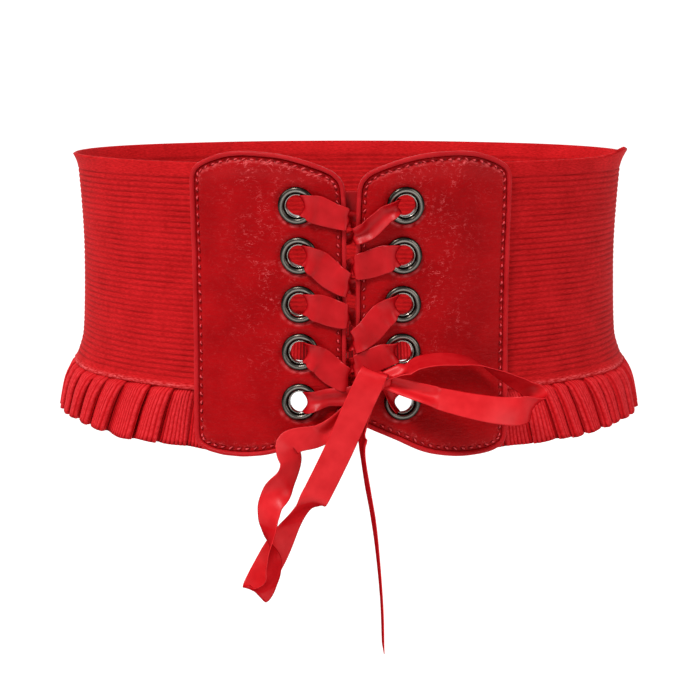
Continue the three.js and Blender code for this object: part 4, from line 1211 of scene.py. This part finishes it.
def add_knot():
    """A flattened ball whose radius has the ridges of ribbon wound round it."""
    turn, rise = meshgrid(
        np.linspace(0, 2 * np.pi, KNOT_COLUMNS, endpoint=False),
        np.linspace(-np.pi / 2, np.pi / 2, KNOT_ROWS),
    )
    ridges = 1 + 0.05 * np.sin(9 * rise + 1.2 * np.cos(turn)) * np.cos(rise)
    ball = np.stack([
        np.sin(rise), np.cos(rise) * np.cos(turn), np.cos(rise) * np.sin(turn),
    ], -1)
    points = KNOT + KNOT_HALF * ball * ridges[..., None]
    wound, wide = np.linspace(0, 0.026, KNOT_COLUMNS + 1), np.linspace(0, RIBBON_WIDTH, KNOT_ROWS)
    uv = np.stack(meshgrid(wound, wide), -1)
    piece = add_surface("satin_knot", points, uv, round_u=True)
    return finish_piece(piece, ribbon_satin, "satin_ribbon", "bow_knot")


add_knot()

# %% [markdown]
# ## Stage and light
# A pale floor that curves up into the background, a key light from the upper left in
# front, a soft box beside it that draws the bright arcs on the eyelets, a weaker light
# from the right, and a sky that is brighter behind the belt than before it, as in a
# small product studio.

# %% Stage
FLOOR = -0.30
STAGE_FRONT, STAGE_BACK, STAGE_SIDE, STAGE_CURVE, STAGE_WALL = 6.0, 2.4, 5.0, 0.7, 2.2
DIM_BEFORE, DIM_LIGHT = -0.9, 0.18
BRIGHT_BEHIND, BRIGHT_LIGHT = 0.1, 0.85


def add_stage():
    """A profile of floor, quarter round and wall, carried sideways."""
    bend = np.linspace(0, np.pi / 2, 17)
    profile = np.concatenate([
        [(-STAGE_FRONT, 0.0)],
        np.stack([STAGE_BACK - STAGE_CURVE + STAGE_CURVE * np.sin(bend),
                  STAGE_CURVE - STAGE_CURVE * np.cos(bend)], -1),
        [(STAGE_BACK, STAGE_WALL)],
    ])
    sideways, along = meshgrid([-STAGE_SIDE, STAGE_SIDE], np.arange(len(profile)))
    depth, height = profile[along.astype(int)].transpose(2, 0, 1)
    points = np.stack([sideways, depth, FLOOR + height], -1)
    piece = add_surface("studio_floor", points, np.zeros(points.shape[:2] + (2,)))
    material, shader = new_material(
        "studio_paper", Base_Color=(0.45, 0.45, 0.45, 1), Roughness=0.9,
        Specular_IOR_Level=0.0, Emission_Color=(1, 1, 1, 1),
    )
    # The paper has a light of its own, brighter behind the belt than before it
    place = add_node(shader, "TexCoord")
    split = add_node(shader, "SeparateXYZ", {"Vector": place.outputs["Object"]})
    glow = remap(shader, split.outputs["Y"], DIM_BEFORE, BRIGHT_BEHIND, DIM_LIGHT, BRIGHT_LIGHT)
    link(shader, glow, "Emission Strength")
    piece.data.materials.append(material)


add_stage()


# %% Light
def add_light(name, place, target, size, power):
    """A square area light at place, turned so that its axis points at target."""
    data = bpy.data.lights.new(name, "AREA")
    data.shape = "SQUARE"
    data.size = size
    data.energy = power
    light = bpy.data.objects.new(name, data)
    ahead = np.array(target) - np.array(place)
    yaw = math.atan2(ahead[1], ahead[0]) - math.pi / 2
    tilt = math.acos(-ahead[2] / np.linalg.norm(ahead))
    light.location = place
    light.rotation_euler = (tilt, 0, yaw)
    bpy.context.collection.objects.link(light)


add_light("key_light", (-0.62, -0.95, 1.55), (0, 0, -0.02), 0.45, 25)
add_light("soft_box", (-1.35, -0.55, 1.0), (0, 0, 0), 0.7, 6)
add_light("fill_light", (1.3, -1.1, 0.75), (0, 0, 0), 0.9, 8)

SKY_IN_FRONT, SKY_BEHIND = 0.12, 0.36
world = bpy.data.worlds.new("studio_sky")
bpy.context.scene.world = world
world.use_nodes = True
sky = world.node_tree.nodes["Background"]
sky.inputs["Color"].default_value = (1, 1, 1, 1)
direction = add_node(sky, "TexCoord")
from_front = add_node(sky, "SeparateXYZ", {"Vector": direction.outputs["Generated"]})
link(sky, remap(sky, from_front.outputs["Y"], -1.0, 1.0, SKY_IN_FRONT, SKY_BEHIND), "Strength")
bpy.context.scene.view_settings.view_transform = "Standard"
